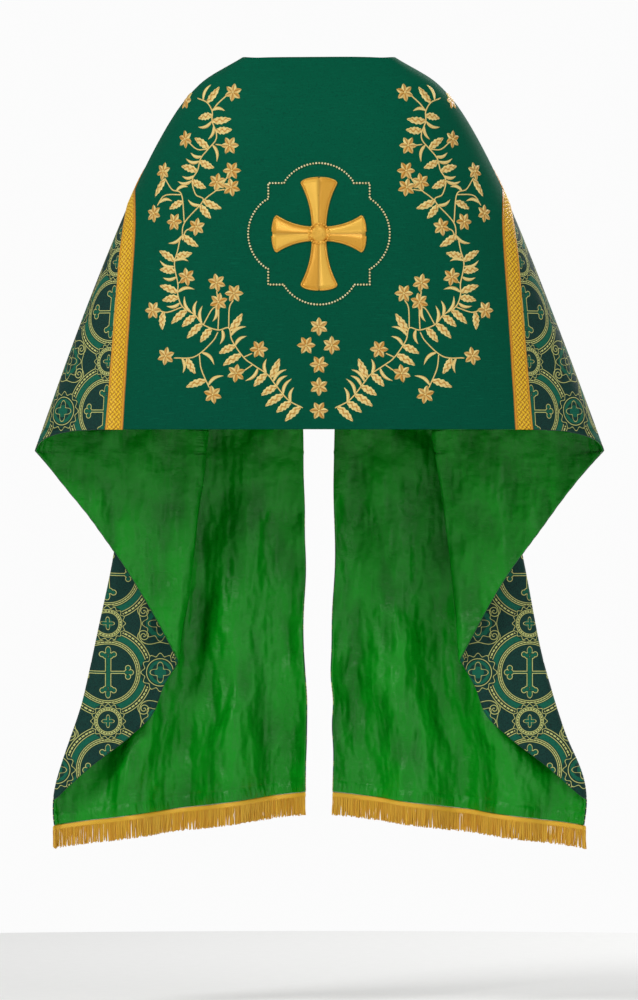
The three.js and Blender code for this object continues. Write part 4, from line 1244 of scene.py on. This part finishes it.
def add_fringes():
    for name, sign in (("left", -1), ("right", 1)):
        random.seed(5 + sign)
        across = np.linspace(0, FRINGE_HEADING, 11)
        along = np.linspace(0, 1, HEADING_STEPS)
        depth = (FRINGE_TOP + across)[:, None] * np.ones(len(along))
        start, finish = outer_run(depth), end_run(depth)
        run = start + (finish - start) * along
        relief = rope(across[:, None], run - start)
        outside = on_cloth(depth, sign * run, FRINGE_LEVEL + relief)
        inside = on_cloth(depth, sign * run, FRINGE_LEVEL - relief)
        # painted light and shade: the raised twists of the rope are lighter and its hollows darker
        marks = np.stack([run + across[:, None], 0.7 - 0.4 * relief, np.clip(0.6 - relief, 0, 1)], axis=-1)
        faces = closed_faces(*depth.shape)
        faces = faces[:, ::-1] if sign < 0 else faces
        label = f"fringe_heading_{name}"
        heading = two_sided(f"{label}_braid", outside, inside, faces, FRINGE_GOLD, "thread", marks)
        stand_in(label)
        skirt = fringe_threads(sign).build(f"fringe_skirt_{name}_threads", FRINGE_GOLD)
        stand_in(f"fringe_skirt_{name}")


def fringe_threads(sign):
    """Twisted threads that hang side by side in two rows."""
    parts = Parts()
    rings, sides = 10, 6
    first, last = float(outer_run(SKIRT_TOP)), float(end_run(SKIRT_TOP))
    angle = np.linspace(0, 2 * np.pi, sides + 1)
    for row, level in ((0, 1.3), (1, 2.7)):
        run = first + 0.6 + 0.8 * row
        while run < last - 0.3:
            length = FRINGE_SKIRT + random.uniform(-2.6, 0.8)
            sway, swing = random.gauss(0, 0.9), random.gauss(0, 0.6)
            s = np.linspace(0, 1, rings)
            depth = np.minimum(SKIRT_TOP - 1.5 + s * (length + 1.5), SKIRT_TOP + EDGE_GAP + FRINGE_SKIRT)
            at = run + sway * s**1.5
            centre = on_cloth(depth, sign * at, level + swing * s**1.5)
            ply = 0.78 * (1 + 0.24 * np.cos(2 * (angle[None] - 1.1 * (depth - SKIRT_TOP)[:, None] - run)))
            ring = np.stack([np.cos(angle), np.sin(angle), 0 * angle], axis=-1)[None] * ply[..., None] * MM
            points = centre[:, None] + ring
            shade = np.clip(0.35 + random.uniform(-0.3, 0.35) + 0 * ply, 0, 1)
            # painted shade between the plies of each thread; each thread's tone is random
            marks = np.stack([(depth * 1.4)[:, None] + angle, shade, np.clip(0.9 - ply, 0, 1)], axis=-1)
            parts.add(points, grid_faces(rings, sides + 1), marks.reshape(-1, 3))
            run += random.uniform(1.35, 1.9)
    return parts


# ---- a dark cord along the free edge: the hem, with the edge's shade painted into its colour ----
def add_hem_edges():
    depths = np.concatenate([[BACK_DROP - 1, BACK_DROP], HEM_ROWS, np.arange(ARM_DEPTH, OUTER_FOLD_END, 3.0)])
    f = Finish("hem_thread_and_edge_shade", 0.6)
    run, shade, groove = f.numbers("thread")
    # painted shade: the cord is dark green, standing in partly for the hem and partly for the shade at the
    # cloth's edge
    f.colour(f.blend((run * 2.4).sine() * 0.5 + 0.5, tone(6, 40, 34), tone(18, 70, 56)))
    f.bump((run * 2.4).sine(), 0.4, 0.0005)
    for name, sign in (("left", -1), ("right", 1)):
        parts = Parts()
        line = np.stack([sign * (side_edge(depths) + 0.4), depths], axis=-1)
        cord_on_cloth(parts, line, 0.9, 2.4)
        edge = parts.build(f"hem_edge_{name}_thread", f.material)


add_centre()
add_sides()
add_braids()
add_garlands()
add_frame()
add_emblem()
add_fringes()
add_hem_edges()

# ---- the clasp's own CAD pieces, in brass ----
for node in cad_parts:
    if node.startswith("clasp_"):
        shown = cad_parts[node]
        shown.data.materials.clear()
        shown.data.materials.append(BRASS)

# ---- studio ----
FLOOR, FLOOR_RADIUS = -1.45, 2.5


def add_studio():
    f = Finish("studio_floor", 0.9)
    grain = f.noise(f.place(), 40, 3)
    f.colour(f.blend(grain, tone(238, 238, 237), tone(244, 244, 243)))
    f.bump(grain, 0.02, 0.001)
    turns = np.linspace(0, 2 * math.pi, 97)[:-1]
    points = [(FLOOR_RADIUS * math.cos(a), FLOOR_RADIUS * math.sin(a), FLOOR) for a in turns]
    make_mesh("studio_floor", points, [tuple(range(len(points)))], f.material, body=None)


def add_light(name, place, target, size, power):
    light = bpy.data.lights.new(name, "AREA")
    light.shape, light.size, light.energy = "SQUARE", size, power
    lamp = bpy.data.objects.new(name, light)
    lamp.location = place
    lamp.rotation_euler = (Vector(target) - Vector(place)).to_track_quat("-Z", "Y").to_euler()
    bpy.context.scene.collection.objects.link(lamp)


add_studio()
MIDDLE = (0, 0, -0.62)
add_light("key", (-2.6, -3.4, 2.3), MIDDLE, 1.3, 112)
add_light("fill", (2.9, -3.2, 0.3), MIDDLE, 2.4, 34)
add_light("front", (1.8, 3.0, 1.6), MIDDLE, 1.6, 88)
world = bpy.data.worlds.new("studio")
world.use_nodes = True
light_all_round = world.node_tree.nodes["Background"]
light_all_round.inputs[0].default_value = (1, 1, 1, 1)
light_all_round.inputs[1].default_value = 0.42
seen = world.node_tree.nodes.new("ShaderNodeBackground")
seen.inputs[0].default_value = (1, 1, 1, 1)
seen.inputs[1].default_value = 0.97
path = world.node_tree.nodes.new("ShaderNodeLightPath")
either = world.node_tree.nodes.new("ShaderNodeMixShader")
world.node_tree.links.new(path.outputs["Is Camera Ray"], either.inputs[0])
world.node_tree.links.new(light_all_round.outputs[0], either.inputs[1])
world.node_tree.links.new(seen.outputs[0], either.inputs[2])
world.node_tree.links.new(either.outputs[0], world.node_tree.nodes["World Output"].inputs[0])
scene = bpy.context.scene
scene.world = world
scene.view_settings.view_transform = "Standard"

VIEW_CENTRE = Vector((0, -0.16, -0.666))
VIEW_DISTANCE, VIEW_ELEVATION, LENS = 12.5, 0.0, 300
camera = bpy.data.objects.new("camera", bpy.data.cameras.new("camera"))
camera.data.lens = LENS
from_centre = Vector((0, -math.cos(VIEW_ELEVATION), math.sin(VIEW_ELEVATION)))
camera.location = VIEW_CENTRE + VIEW_DISTANCE * from_centre
camera.rotation_euler = (VIEW_CENTRE - camera.location).to_track_quat("-Z", "Y").to_euler()
scene.collection.objects.link(camera)
scene.camera = camera
